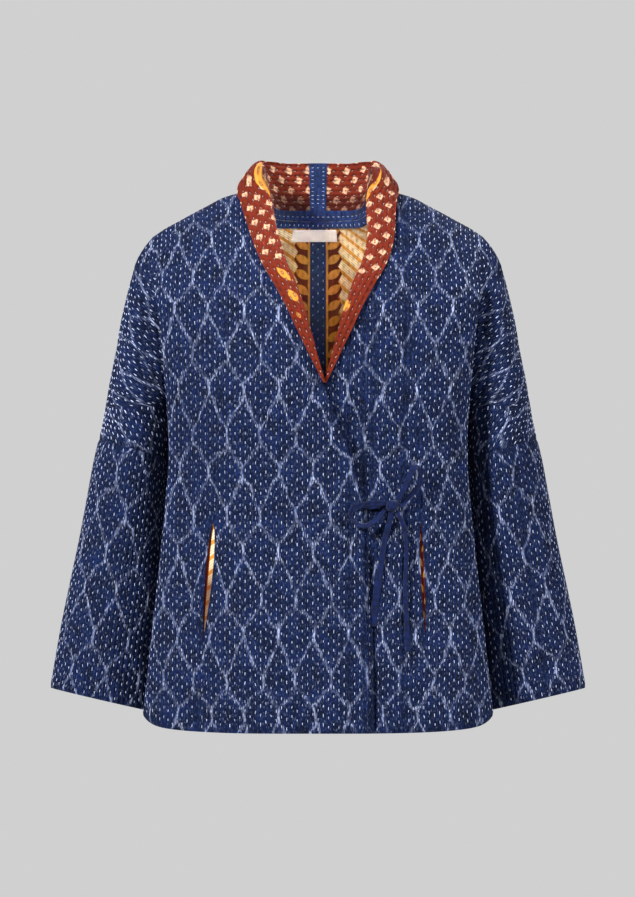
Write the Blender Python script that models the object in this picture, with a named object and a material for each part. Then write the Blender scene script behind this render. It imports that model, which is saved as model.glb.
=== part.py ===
# Kantha jacket: a quilted wrap jacket with dropped shoulders, a collar turned out to its
# print, and a bow of two ties. It stands as if worn, with nobody in it.
# X is to the wearer's left, Y to the back and Z up, from midway between the shoulders.
# Sizes are in millimetres and become metres where a mesh is made.
# "across" is the distance from the centre plane, "drop" the distance below the origin.

import bpy
import numpy as np

# Driving sizes
WALL = 2.0  # quilted cloth
THIN = 1.0  # bindings, label and pocket edges
GAP = 0.3  # between pieces at a seam
HEM = 628.0  # drop of the hem at the centre
HEM_SIDE = 606.0  # drop of the hem at the side seams
UNDERARM = 240.0  # drop of the point where side seam and sleeve meet
ARMHOLE = 278.5  # drop of the sleeve seam on the outer side of the arm
CUFF = 576.0  # drop of the cuff on its outer side
NECK = 64.0  # half width of the neck at the shoulder seams
NECK_TOP = 22.0  # height of the shoulder seam at the neck
NECK_BACK = (62.0, -7.0)  # depth and height of the neck seam at the centre back
SEAM_DEPTH = 15.0  # depth of the side seams
CROSS = 15.0  # the overlap sets the neck opening this far over to the wearer's left
LAYER = 5.0  # the left front lies this far inside the right one where they overlap
TIE_THICK = 2.4


def table(names, *rows):
    """One array for each named column."""
    return dict(zip(names.split(), np.array(rows, float).T))


SHOULDER = table(
    "across height",
    (64, 22), (80, 20), (96, 16.5), (115, 10.5), (133, 1), (150, -8), (168, -18), (184.5, -27), (198, -36),
)
OUTLINE = table(
    "drop across",
    (36, 198), (46, 206.5), (56, 213), (65, 217.5), (84, 223), (113, 230), (142, 236.5), (170, 241),
    (199, 247), (227, 252), (256, 257), (303, 268), (351, 277), (399, 286), (446, 296), (494, 306),
    (576, 320.5),
)
# The edge of the right front: its neck seam down to the overlap, then its free edge
EDGE = table(
    "drop across",
    (-22, 64), (-4, 61.5), (24, 55.5), (57, 47), (82, 37), (107, 26.5), (139, 16.5), (170, 7), (203, -3),
    (232, -13), (258, -23.8), (301, -39), (346, -50), (391, -54.3), (445, -55.6), (564, -60.7), (628, -63),
)
FRONT = table(
    "drop depth fold fold_depth crease arm arm_depth",
    (0, -66, 158, -20, 168, 182, -8), (40, -78, 188, -42, 192, 202, -24),
    (70, -88, 194, -50, 191, 205, -34), (106, -100, 193, -57, 187, 208, -41),
    (144, -112, 189, -63, 180, 210, -46), (187, -120, 185, -66, 173, 211, -50),
    (240, -125, 180, -67, 167, 214, -53), (278, -124, 178, -66, 162, 218, -53),
    (391, -126, 185, -66, 165, 231, -46), (505, -132, 197, -66, 175, 246, -40),
    (576, -136, 204, -65, 183, 256, -36), (628, -139, 209, -64, 187, 262, -34),
)
BACK = table(
    "drop depth fold fold_depth crease arm arm_depth",
    (0, 76, 158, 30, 168, 182, 26), (40, 86, 186, 52, 190, 200, 40),
    (70, 93, 192, 62, 189, 204, 48), (106, 100, 190, 70, 185, 207, 55),
    (144, 105, 187, 77, 179, 209, 62), (187, 107, 184, 82, 173, 211, 68),
    (240, 106, 180, 84, 167, 214, 73), (278, 104, 178, 84, 162, 218, 75),
    (391, 108, 183, 85, 165, 231, 72), (505, 116, 193, 86, 175, 246, 68),
    (576, 120, 199, 86, 183, 256, 65), (628, 123, 203, 86, 187, 262, 64),
)
# The column of grid lines that the pocket slits are cut along
POCKET_LINE = {
    "right": table("drop across", (0, 94), (106, 106), (240, 117), (378, 125), (518, 137), (628, 145)),
    "left": table("drop across", (0, 94), (106, 106), (240, 116), (378, 122), (518, 128), (628, 133)),
}
SLITS = {  # drop of the top and the bottom, widest opening
    "right": (378.0, 518.0, 9.0),
    "left": (378.0, 518.0, 4.5),
}
SLEEVE = table("drop inner", (240, 168.5), (256, 173), (278, 177), (399, 183), (576, 195))
# Soft folds: side, face, across, drop at its middle, half width, half length, depth
FOLDS = (
    ("right", "front", 128, 105, 20, 75, -4.0), ("left", "front", 130, 120, 24, 80, -3.5),
    ("right", "front", 92, 590, 26, 120, 4.0), ("right", "front", 140, 600, 24, 90, -5.0),
    ("right", "front", 20, 600, 30, 110, -2.5), ("left", "front", 110, 600, 26, 110, -5.0),
    ("left", "front", 160, 580, 24, 100, 3.5), ("right", "back", 40, 600, 34, 160, 6.0),
    ("left", "back", 60, 600, 36, 170, 6.0), ("right", "back", 120, 600, 34, 150, -6.0),
    ("left", "back", 140, 600, 34, 150, -6.0), ("right", "front", 240, 430, 30, 60, -3.0),
    ("left", "front", 250, 410, 30, 60, -3.0),
)

# Grid lines across each half: the columns at which its stations lie
FRONT_COLUMNS = {"mid": 9, "fold": 14, "crease": 18, "arm": 22, "outer": 26}
BACK_COLUMNS = {"mid": 5, "fold": 9, "crease": 13, "arm": 17, "outer": 21}
UPPER_ROWS = (0, 5, 12, 22, 36, 54, 74, 96, 120, 146, 172, 196, 216, 231, 240)
LOWER_ROWS = tuple(np.linspace(240, 378, 7)) + tuple(np.linspace(378, 518, 7)[1:])
LOWER_ROWS += tuple(np.linspace(518, 628, 5)[1:])
ARM_ROWS = (240, 252, 265, 278.5)
SLEEVE_ROWS = tuple(np.linspace(278.5, 576, 12))


def smooth(knots, values, at):
    """A cubic curve through the values, level beyond its ends."""
    slopes = np.gradient(values, knots)
    at = np.clip(at, knots[0], knots[-1])
    i = np.clip(np.searchsorted(knots, at) - 1, 0, len(knots) - 2)
    step = knots[i + 1] - knots[i]
    t = (at - knots[i]) / step
    start = (1 + 2 * t) * (1 - t) ** 2 * values[i] + t * (1 - t) ** 2 * step * slopes[i]
    end = t * t * (3 - 2 * t) * values[i + 1] + t * t * (t - 1) * step * slopes[i + 1]
    return start + end


def read(source, name, at):
    """A column of a table at these drops."""
    return smooth(source["drop"], source[name], at)


def ramp(start, end, at):
    """From 0 to 1 with level ends."""
    t = np.clip((at - start) / (end - start), 0, 1)
    return t * t * (3 - 2 * t)


def bezier(a, b, c, d, t):
    return (1 - t) ** 3 * a + 3 * t * (1 - t) ** 2 * b + 3 * t * t * (1 - t) * c + t ** 3 * d


def seam_depth(drop):
    """Depth of the seam along the shoulder and down the outer arm."""
    return 8 + 6 * ramp(60, 560, drop)


def edge_across(side, drop):
    """The front edge; the overlap moves the left one over."""
    moved = CROSS * ramp(-20, 60, drop) * (1 - ramp(260, 420, drop))
    return read(EDGE, "across", drop) + (moved if side == "left" else 0)


def crease_depth(face, drop):
    """The notch between body and arm: it deepens round to the underarm point."""
    reach = -57 if face == "front" else 44
    run = np.clip((drop - 92) / (UNDERARM - 92), 0, 1)
    return SEAM_DEPTH + reach * np.sqrt(1 - run ** 2)


def recess(side, across, drop):
    """How far the left front lies inside where the right one covers it."""
    if side == "right":
        return 0 * across
    under = LAYER * (1 - ramp(62, 100, across)) * ramp(120, 190, drop)
    edge = -read(EDGE, "across", drop)
    hollow = 8 * np.exp(-(((across - edge - 14) / 24) ** 2))
    return under + hollow * ramp(190, 250, drop) * (1 - ramp(330, 420, drop))


def folds(side, face, across, drop):
    """The sum of the soft folds, outwards."""
    out = 0 * across
    for where, on, at, middle, wide, tall, depth in FOLDS:
        if (where, on) == (side, face):
            out = out + depth * np.exp(-(((across - at) / wide) ** 2) - ((drop - middle) / tall) ** 2)
    return out * (ramp(0, 40, across) if face == "back" else 1)


def section(side, face, column, row):
    """Distance across and depth of a level section, before the shoulder rounds it off."""
    stations = FRONT_COLUMNS if face == "front" else BACK_COLUMNS
    shape = FRONT if face == "front" else BACK
    mid, fold, crease, arm, outer = (stations[name] for name in ("mid", "fold", "crease", "arm", "outer"))
    lift = 1 - ramp(0, 150, row)
    get = {name: read(shape, name, row) for name in shape if name != "drop"}
    get["outer"] = read(OUTLINE, "across", row + 36 * lift)
    ends = seam_depth(row)
    notch = crease_depth(face, row)
    if face == "front":
        start = edge_across(side, row - NECK_TOP * lift)
        middle = read(POCKET_LINE[side], "across", row)
        t = np.clip(column / mid, 0, 1)
        across = start + (middle - start) * t
    else:
        middle = NECK + 34 * ramp(0, 300, row)
        across = middle * np.sin(np.pi / 2 * np.clip(column / mid, 0, 1))
    t = np.clip((column - mid) / (fold - mid), 0, 1)
    across = across + (get["fold"] - middle) * np.sin(np.pi / 2 * t)
    part = np.clip(np.abs(across) / get["fold"], 0, 1)
    depth = get["fold_depth"] + (get["depth"] - get["fold_depth"]) * (1 - part ** 2.4) ** 0.6
    t = np.clip((column - fold) / (crease - fold), 0, 1)
    turn = (notch - get["fold_depth"]) / 2
    side_across = bezier(get["fold"], get["fold"], get["crease"], get["crease"], t)
    side_depth = bezier(get["fold_depth"], get["fold_depth"] + turn, notch - turn, notch, t)
    below = row > UNDERARM
    start = np.where(below, read(SLEEVE, "inner", row), get["crease"])
    t = np.clip((column - crease) / (arm - crease), 0, 1)
    bend = 0.55 * (notch - get["arm_depth"])
    reach = 0.55 * (get["arm"] - start)
    arm_across = bezier(start, start, get["arm"] - reach, get["arm"], t)
    arm_depth = bezier(notch, notch - bend, get["arm_depth"], get["arm_depth"], t)
    t = np.clip((column - arm) / (outer - arm), 0, 1) * np.pi / 2
    out_across = get["arm"] + (get["outer"] - get["arm"]) * np.sin(t)
    out_depth = ends + (get["arm_depth"] - ends) * np.cos(t)
    where = [column <= fold, column <= crease, column <= arm]
    across = np.select(where, [across, side_across, arm_across], out_across)
    depth = np.select(where, [depth, side_depth, arm_depth], out_depth)
    whole = np.clip(np.abs(across) / get["outer"], 0, 1)
    round_depth = ends + (get["depth"] - ends) * (1 - whole ** 2.6) ** 0.62
    part = ramp(55, 108, row)
    return across, round_depth + (depth - round_depth) * part, ends


def arm_section(side, face, column, row):
    """The same for the arm below the underarm point, where its inner side is a seam of its own."""
    crease = (FRONT_COLUMNS if face == "front" else BACK_COLUMNS)["crease"]
    return section(side, face, np.maximum(column, crease + 1e-6), np.maximum(row, UNDERARM + 1e-6))


def hem_drop(across, past_fold):
    """The hem rises a little to the sides, and round the corner to the side seam."""
    part = np.abs(across) / 208
    front = HEM - 9 * part ** 4 - 10 * part ** 24
    return front + (HEM_SIDE - front) * past_fold


def place(side, across, depth, height):
    """Points in space from distances across on this side."""
    sign = -1 if side == "right" else 1
    return np.stack([sign * across, depth, height], -1)


def body(side, face, column, row):
    """Points of the front or back, from its column and its row below the shoulder."""
    column, row = np.broadcast_arrays(np.asarray(column, float), np.asarray(row, float))
    stations = FRONT_COLUMNS if face == "front" else BACK_COLUMNS
    across, depth, ends = section(side, face, column, row)
    lift = 1 - ramp(0, 150, row)
    inside = np.clip(across / NECK, 0, 1)
    top = smooth(SHOULDER["across"], SHOULDER["height"], across)
    start = ends
    if face == "back":
        dip = (NECK_TOP - NECK_BACK[1]) * (1 - inside ** 12) ** 0.8 * (1 - ramp(0, 90, row))
        top = np.where(across < NECK, NECK_TOP - dip, top)
        start = ends + (NECK_BACK[0] - ends) * (1 - inside ** 2) ** (0.5 + ramp(0, 25, row))
    part = np.clip((across - NECK) / (198 - NECK), 0, 1)
    tall = (140 if face == "front" else 110) * (1 - part) + 62 * part
    power = (0.8 if face == "front" else 0.55) * (1 - part) + 0.5 * part
    swell = np.sin(np.pi / 2 * np.clip(row / tall, 0, 1)) ** power
    outwards = -1 if face == "front" else 1
    depth = start + (depth - start) * swell
    inner = np.clip(1 - ((column - stations["fold"]) / (stations["crease"] - stations["fold"])), 0, 1)
    moved = folds(side, face, across, row) * outwards * inner ** 2
    if face == "front":
        moved = moved + recess(side, across, row) * inner
    depth = depth + moved * swell
    past = ramp(stations["fold"], stations["crease"], column)
    low = UNDERARM + (row - UNDERARM) * (hem_drop(across, past) - UNDERARM) / (HEM - UNDERARM)
    drop = np.where(row > UNDERARM, low, row - top * lift)
    return place(side, across, depth, -drop)


def arm(side, face, column, row):
    """Points of the arm from the underarm point to the cuff; its rings tilt with the sleeve seam."""
    column, row = np.broadcast_arrays(np.asarray(column, float), np.asarray(row, float))
    across, depth, _ = arm_section(side, face, column, row)
    outwards = -1 if face == "front" else 1
    stations = FRONT_COLUMNS if face == "front" else BACK_COLUMNS
    round_arm = (column - stations["crease"]) / (stations["outer"] - stations["crease"])
    bulge = np.sin(np.pi * np.clip(round_arm, 0, 1))
    depth = depth + folds(side, face, across, row) * outwards * bulge * ramp(260, 320, row)
    tilt = 0.28 * ramp(UNDERARM, ARMHOLE, row) - 0.05 * ramp(ARMHOLE, CUFF, row)
    lower = tilt * (read(OUTLINE, "across", row) - across)
    return place(side, across, depth, -row - lower)


def grid(surface, side, face, rows, columns):
    return surface(side, face, np.array(columns, float)[None, :], np.array(rows, float)[:, None])


def slit_shift(side, rows):
    """Half the opening of the pocket slit at each row."""
    top, bottom, wide = SLITS[side]
    t = np.clip((np.array(rows, float) - top) / (bottom - top), 0, 1)
    return wide / 2 * np.sin(np.pi * t ** 0.75) ** 0.8


def weld(patches):
    """One list of points and quads for patches that share their edge points."""
    points = np.concatenate([patch.reshape(-1, 3) for patch in patches])
    quads = []
    start = 0
    for patch in patches:
        rows, columns = patch.shape[:2]
        ids = start + np.arange(rows * columns).reshape(rows, columns)
        quads.append(np.stack([ids[:-1, :-1], ids[1:, :-1], ids[1:, 1:], ids[:-1, 1:]], -1).reshape(-1, 4))
        start += rows * columns
    _, first, index = np.unique(np.round(points, 3), axis=0, return_index=True, return_inverse=True)
    index = index.reshape(-1)
    return points[first], index[np.concatenate(quads)], index


def panel(patches, flip):
    """A piece of cloth: its points, its quads facing out, and where each patch's points are."""
    points, quads, index = weld(patches)
    return {"points": points, "quads": quads[:, ::-1] if flip else quads, "index": index, "patches": patches}


def body_panel(side, face):
    stations = FRONT_COLUMNS if face == "front" else BACK_COLUMNS
    columns = np.arange(stations["outer"] + 1)
    crease = stations["crease"]
    patches = [grid(body, side, face, UPPER_ROWS, columns)]
    lower = grid(body, side, face, LOWER_ROWS, columns[: crease + 1])
    if face == "front":
        mid = stations["mid"]
        half = slit_shift(side, LOWER_ROWS)
        sign = -1 if side == "right" else 1
        near, far = lower[:, : mid + 1].copy(), lower[:, mid:].copy()
        near[:, -1, 0] -= sign * half
        far[:, 0, 0] += sign * half
        patches += [near, far]
    else:
        patches.append(lower)
    upper_arm = grid(arm, side, face, ARM_ROWS, columns[crease:])
    upper_arm[0] = patches[0][-1, crease:]
    patches.append(upper_arm)
    return panel(patches, (side == "right") == (face == "front"))


def sleeve_panel(side):
    halves = []
    for face, stations in (("front", FRONT_COLUMNS), ("back", BACK_COLUMNS)):
        columns = np.arange(stations["crease"], stations["outer"] + 1)
        halves.append(grid(arm, side, face, SLEEVE_ROWS, columns))
    front, back = halves
    return panel([np.concatenate([front, back[:, -2::-1]], axis=1)], side == "right")


def unit(vectors):
    return vectors / np.maximum(np.linalg.norm(vectors, axis=-1, keepdims=True), 1e-9)


def add_normals(cloth):
    """Outward normals, shared by pieces where they are sewn, and how far each seam point gives way."""
    points = np.concatenate([piece["points"] for piece in cloth.values()])
    _, shared = np.unique(np.round(points, 3), axis=0, return_inverse=True)
    shared = shared.reshape(-1)
    total = np.zeros((shared.max() + 1, 3))
    start = 0
    for piece in cloth.values():
        corners = piece["points"][piece["quads"]]
        facing = np.cross(corners[:, 2] - corners[:, 0], corners[:, 3] - corners[:, 1])
        for k in range(4):
            np.add.at(total, shared[start + piece["quads"][:, k]], facing)
        piece["facing"], piece["start"] = facing, start
        start += len(piece["points"])
    users = np.bincount(shared)
    for piece in cloth.values():
        mine = shared[piece["start"]: piece["start"] + len(piece["points"])]
        piece["normals"] = unit(total[mine])
        middle = piece["points"][piece["quads"]].mean(1)
        inward = np.zeros_like(piece["points"])
        for k in range(4):
            np.add.at(inward, piece["quads"][:, k], middle - piece["points"][piece["quads"][:, k]])
        inward = inward - piece["normals"] * (inward * piece["normals"]).sum(1, keepdims=True)
        piece["give"] = unit(inward) * (users[mine] > 1)[:, None] * 0.75 * GAP


def part_shoulder_seams(cloth):
    """The shoulder seam lies in one upright plane, so both walls end squarely at it."""
    for side in ("right", "left"):
        for face, apart in (("front", -1), ("back", 1)):
            piece = cloth[f"{face}_{side}"]
            first = 0 if face == "front" else BACK_COLUMNS["mid"]
            last = (FRONT_COLUMNS if face == "front" else BACK_COLUMNS)["outer"]
            index = piece["index"][first: last + 1]
            piece["normals"][index, 1] = 0
            piece["normals"][index] = unit(piece["normals"][index])
            piece["give"][index] = (0, apart * 0.6 * GAP, 0)


def material(name, colour, roughness):
    """A Principled material of an sRGB colour."""
    made = bpy.data.materials.new(name)
    made.use_nodes = True
    linear = [((c / 255 + 0.055) / 1.055) ** 2.4 if c > 10 else c / 255 / 12.92 for c in colour]
    shader = made.node_tree.nodes["Principled BSDF"]
    shader.inputs["Base Color"].default_value = (*linear, 1)
    shader.inputs["Roughness"].default_value = roughness
    shader.inputs["Metallic"].default_value = 0
    made.diffuse_color = (*linear, 1)
    return made


def add_solid(name, outer, inner, quads, colour):
    """A closed wall between two layers of points, with its rim along the free edges."""
    count = len(outer)
    faces = [tuple(dict.fromkeys(quad)) for quad in quads.tolist()]
    faces = [face for face in faces if len(face) > 2]
    sides = {}
    for face in faces:
        for a, b in zip(face, face[1:] + face[:1]):
            sides[a, b] = True
    solid = list(faces)
    solid += [tuple(count + v for v in reversed(face)) for face in faces]
    solid += [(b, a, a + count, b + count) for a, b in sides if (b, a) not in sides]
    mesh = bpy.data.meshes.new(name)
    mesh.from_pydata((np.concatenate([outer, inner]) / 1000).tolist(), [], solid)
    mesh.materials.append(colour)
    made = bpy.data.objects.new(name, mesh)
    bpy.context.scene.collection.objects.link(made)
    return made


def add_wall(name, piece, colour, raised=None):
    """A sewn piece, its points the outer side; raised moves only the outer points."""
    outer = piece["points"] + piece["give"]
    inner = outer - piece["normals"] * WALL
    if raised is not None:
        outer = outer + piece["normals"] * raised[:, None]
    return add_solid(name, outer, inner, piece["quads"], colour)


def collar_frame(cloth, side):
    """Points of the neck seam from the centre back to the overlap, with the directions up and out.

    Behind the shoulder up is upright; before it, up is off the cloth and out is away from the neck.
    """
    back, front = cloth[f"back_{side}"], cloth[f"front_{side}"]
    behind = back["index"][: BACK_COLUMNS["mid"] + 1]
    width = FRONT_COLUMNS["outer"] + 1
    ahead = front["index"][: len(UPPER_ROWS) * width: width]
    points = np.concatenate([back["points"][behind[:-1]], front["points"][ahead]])
    up = front["normals"][ahead]
    up = np.concatenate([np.tile([0.0, 0.0, 1.0], (len(behind) - 1, 1)), up])
    up[len(behind) - 1] = (0, 0, 1)
    along = unit(np.gradient(points, axis=0))
    out = unit(np.cross(along, up)) * (1 if side == "right" else -1)
    out[0] = (0, 1, 0)
    return points, up, out


# Section of the collar: distance along the neck seam, then three points from the seam, each up and out
COLLAR = table(
    "run up_1 out_1 up_2 out_2 up_3 out_3",
    (0, 20, 1, 40, 3, 59.5, 7), (30, 20, 1, 40, 4, 59, 8), (60, 20, 0, 40, 5, 57.5, 9),
    (75, 24, 0, 53, 4, 46, 13), (85, 30, -2, 57, 4, 24, 20), (100, 27, -6, 37, 9, 3.5, 31.5),
    (125, 18, -10, 20, 0, 5, 31),
    (160, 13, -10, 15, -1, 5, 28), (200, 9, -9, 10, -4, 5, 25), (250, 7, -8, 8, -5, 4.5, 19),
    (300, 5, -7, 6, -5, 4, 12), (340, 4, -5, 4.5, -4, 4, 5), (372, 3.5, -4, 4, -3.5, 3.8, -0.5),
)
COLLAR_DROP = 212.0  # drop of the point where the collar runs out
COLLAR_ACROSS = 18
COLLAR_ALONG = 20
RIDGE = 0.8  # height of the quilting ridges on the collar
PITCH = 6.2  # between the rows of quilting


def collar_panel(cloth, side):
    """The collar from its seam to its outer edge, turned over more and more towards the front."""
    points, up, out = collar_frame(cloth, side)
    run = np.concatenate([[0], np.cumsum(np.linalg.norm(np.diff(points, axis=0), axis=1))])
    share = np.linspace(0, 1, COLLAR_ALONG + 1)
    at = share * np.interp(COLLAR_DROP, -points[:, 2], run)
    base, up, out = (
        np.stack([smooth(run, part[:, k], at) for k in range(3)], -1) for part in (points, up, out)
    )
    up, out = unit(up), unit(out)
    up[0], out[0] = (0, 0, 1), (0, 1, 0)
    far = share * COLLAR["run"][-1]
    get = {name: smooth(COLLAR["run"], COLLAR[name], far)[:, None] for name in COLLAR if name != "run"}
    first, second, third = (base + up * get[f"up_{k}"] + out * get[f"out_{k}"] for k in (1, 2, 3))
    seam = base - out * (WALL + GAP) + up * 2 * GAP
    t = np.linspace(0, 1, COLLAR_ACROSS + 1)[None, :, None]
    curve = bezier(seam[:, None], first[:, None], second[:, None], third[:, None], t)
    made = panel([curve], side == "right")
    steps = np.linalg.norm(np.diff(curve, axis=1), axis=-1)
    from_edge = np.cumsum(steps[:, ::-1], axis=1)[:, ::-1]
    from_edge = np.concatenate([from_edge, np.zeros((len(at), 1))], axis=1)
    fade = np.clip((from_edge.max(1, keepdims=True) - 8) / 12, 0, 1)
    raised = np.zeros(len(made["points"]))
    raised[made["index"]] = (RIDGE * np.cos(np.pi * from_edge / PITCH) ** 2 * fade).reshape(-1)
    return made, raised


def lay(name, points, normals, off, thick, colour, flip=False):
    """A thin piece on a grid of another piece's points, off by this much along the normals."""
    made = panel([points], flip)
    facing = np.zeros_like(made["points"])
    facing[made["index"]] = normals.reshape(-1, 3)
    outer, inner = made["points"] + facing * (off + thick), made["points"] + facing * off
    return add_solid(name, outer, inner, made["quads"], colour)


def back_inside(cloth, rows, across):
    """Points on the inner side of both backs, at these row numbers and distances from the middle seam."""
    lines = []
    for side in ("right", "left"):
        piece = cloth[f"back_{side}"]
        width = BACK_COLUMNS["outer"] + 1
        upper = piece["index"][: len(UPPER_ROWS) * width].reshape(-1, width)[:, : BACK_COLUMNS["mid"] + 1]
        lower = piece["index"][len(UPPER_ROWS) * width:][: len(LOWER_ROWS) * (BACK_COLUMNS["crease"] + 1)]
        lower = lower.reshape(len(LOWER_ROWS), -1)[1:, : BACK_COLUMNS["mid"] + 1]
        index = np.concatenate([upper, lower])
        lines.append((piece["points"] - piece["normals"] * WALL, piece["normals"], index))
    (right, right_n, a), (left, left_n, b) = lines
    points = np.concatenate([right[a][:, :0:-1], left[b]], axis=1)
    normals = -np.concatenate([right_n[a][:, :0:-1], left_n[b]], axis=1)
    low = np.clip(np.floor(rows).astype(int), 0, len(points) - 2)
    part = (rows - low)[:, None, None]
    points = points[low] * (1 - part) + points[low + 1] * part
    normals = normals[low] * (1 - part) + normals[low + 1] * part
    out = np.zeros((2, len(rows), len(across), 3))
    for i, (line, facing) in enumerate(zip(points, normals)):
        run = np.concatenate([[0], np.cumsum(np.linalg.norm(np.diff(line, axis=0), axis=1))])
        run -= run[BACK_COLUMNS["mid"]]
        for k in range(3):
            out[0, i, :, k] = np.interp(across, run, line[:, k])
            out[1, i, :, k] = np.interp(across, run, facing[:, k])
    return out[0], unit(out[1])


def row_number(drops):
    """Where these rows lie between the grid rows of a back."""
    rows = np.concatenate([UPPER_ROWS, LOWER_ROWS[1:]])
    return np.interp(drops, rows, np.arange(len(rows)))


def add_neck_trims(cloth, paint):
    """Bindings over the neck seam and the centre-back seam inside, and the blank label."""
    neck = np.linspace(-76, 76, 17)
    for name, top, bottom in (("neck_binding", 0.8, 10.4), ("neck_facing", 10.8, 21.0)):
        points, normals = back_inside(cloth, row_number(np.linspace(top, bottom, 4)), neck)
        lay(name, points, normals, 5 * GAP, THIN, paint["blue binding"])
    drops = np.concatenate([[21.6, 30], UPPER_ROWS[5:], LOWER_ROWS[1:-1], [HEM - 3]])
    points, normals = back_inside(cloth, row_number(drops), np.linspace(-9.5, 9.5, 3))
    lay("back_seam_binding", points, normals, 1.5 * GAP, THIN, paint["blue binding"])
    points, normals = back_inside(cloth, row_number(np.linspace(23, 45.5, 4)), np.linspace(-33, 24, 9))
    lay("label", points, normals, 4 * GAP + THIN, 0.6, paint["label cloth"])


def add_collar_strip(collars, paint):
    """The strip that covers the collar's centre-back seam."""
    half = 10.0
    lines = []
    for side in ("right", "left"):
        piece = collars[f"collar_{side}"]
        index = piece["index"].reshape(COLLAR_ALONG + 1, -1)[:2]
        step = np.diff(piece["points"][index], axis=0)[0]
        part = half / np.linalg.norm(step, axis=-1, keepdims=True)
        for field in ("points", "normals"):
            start, end = piece[field][index]
            lines.append((start, start + (end - start) * part))
    points = np.stack([lines[0][1], lines[0][0], lines[2][1]])[:, 1:]
    normals = unit(np.stack([lines[1][1], lines[1][0], lines[3][1]]))[:, 1:]
    lay("collar_strip", points, normals, RIDGE + 1.5 * GAP, THIN, paint["blue binding"])


def add_pocket_edge(cloth, side, paint):
    """The printed edge that shows in the pocket slit, close behind it."""
    piece = cloth[f"front_{side}"]
    start = len(UPPER_ROWS) * (FRONT_COLUMNS["outer"] + 1)
    mid = FRONT_COLUMNS["mid"]
    near = piece["index"][start: start + len(LOWER_ROWS) * (mid + 1)].reshape(len(LOWER_ROWS), -1)
    far = piece["index"][start + near.size:][: len(LOWER_ROWS) * (FRONT_COLUMNS["crease"] + 1 - mid)]
    far = far.reshape(len(LOWER_ROWS), -1)
    top, bottom, _ = SLITS[side]
    drops = np.array([r for r in LOWER_ROWS if top <= r <= bottom])
    drops = np.concatenate([[drops[0] - 12], drops, [drops[-1] + 12]])
    rows = np.interp(drops, LOWER_ROWS, np.arange(len(LOWER_ROWS)))
    low = np.floor(rows).astype(int)
    part = (rows - low)[:, None]
    ends = []
    for index, column, share in ((near, mid - 1, 0.45), (far, 0, 0.55)):
        for field in ("points", "normals"):
            values = piece[field][index]
            values = values[:, column] * (1 - share) + values[:, column + 1] * share
            ends.append(values[low] * (1 - part) + values[low + 1] * part)
    t = np.linspace(0, 1, 4)[None, :, None]
    points = ends[0][:, None] * (1 - t) + ends[2][:, None] * t
    normals = unit(ends[1][:, None] * (1 - t) + ends[3][:, None] * t)
    lay(f"pocket_{side}", points, -normals, WALL + 4 * GAP, THIN, paint["pocket print"], flip=side == "left")


def front_depth(side, x, drop):
    """Depth of the cloth's outer side on a front."""
    across = -x if side == "right" else x
    line = body(side, "front", np.linspace(0, FRONT_COLUMNS["fold"], 80), drop)
    order = -line[:, 0] if side == "right" else line[:, 0]
    return float(np.interp(across, order, line[:, 1]))


# The bow's stretches, as seen from the front: x, height, distance in front of the left front,
# width, and how far the tie is turned from lying flat, in degrees
TIES = {
    "tie_stub": table(
        "x height off wide turn",
        (47.6, -359.3, 4.8, 7, 0), (60, -359, 3.4, 7, 5), (70, -358.4, 4.8, 7, 10),
        (80.8, -357.5, 7.8, 6, 10),
    ),
    "tie_loop_left": table(
        "x height off wide turn",
        (80.6, -355, 11, 5.5, 20), (70, -354.5, 15, 7.4, 14), (55, -356.5, 17.5, 7.8, 12),
        (43.5, -359.5, 18, 7, 26), (38.5, -367, 17, 6.2, 48), (43, -376, 14.5, 6.2, 38),
        (54, -382, 13, 6.4, 24), (67, -376, 11.5, 6.4, 22), (80, -362.6, 7.5, 5, 20),
    ),
    "tie_loop_right": table(
        "x height off wide turn",
        (94.3, -351.4, 11, 6, 0), (103, -336, 14.5, 7.6, 14), (110.5, -319, 16, 7.6, 24),
        (116.5, -311.5, 15.5, 7.2, 44), (121, -317, 13, 6.8, 46), (120, -333, 11, 7, 26),
        (110, -345.5, 9.5, 6.8, 14), (96, -358.5, 7, 5, 0),
    ),
    "tie_tail_left": table(
        "x height off wide turn",
        (86.4, -365.4, 9, 5.5, 0), (84.3, -378, 6.5, 6.2, 10), (79, -400, 4, 6.6, 12),
        (74, -433, 2.8, 7.8, 4), (68.5, -470, 2.4, 9, 0), (65.5, -501, 2.4, 9.4, 0),
    ),
    "tie_tail_right": table(
        "x height off wide turn",
        (92.1, -364.3, 7.6, 5.5, 0), (100, -378, 5.5, 5.4, -10), (104.5, -398, 4.6, 5.4, -25),
        (105, -425, 4, 5.4, -30), (103.5, -455, 3.4, 5.4, -20), (105, -490, 2.6, 6, -8),
        (107, -531, 2.5, 6.4, 0),
    ),
}
KNOT = (87.5, -358.0, 9.0)  # x, height, distance in front of the left front
KNOT_HALF = (6.8, 5.0, 7.0)
TIE_SIDES = 6


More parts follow.
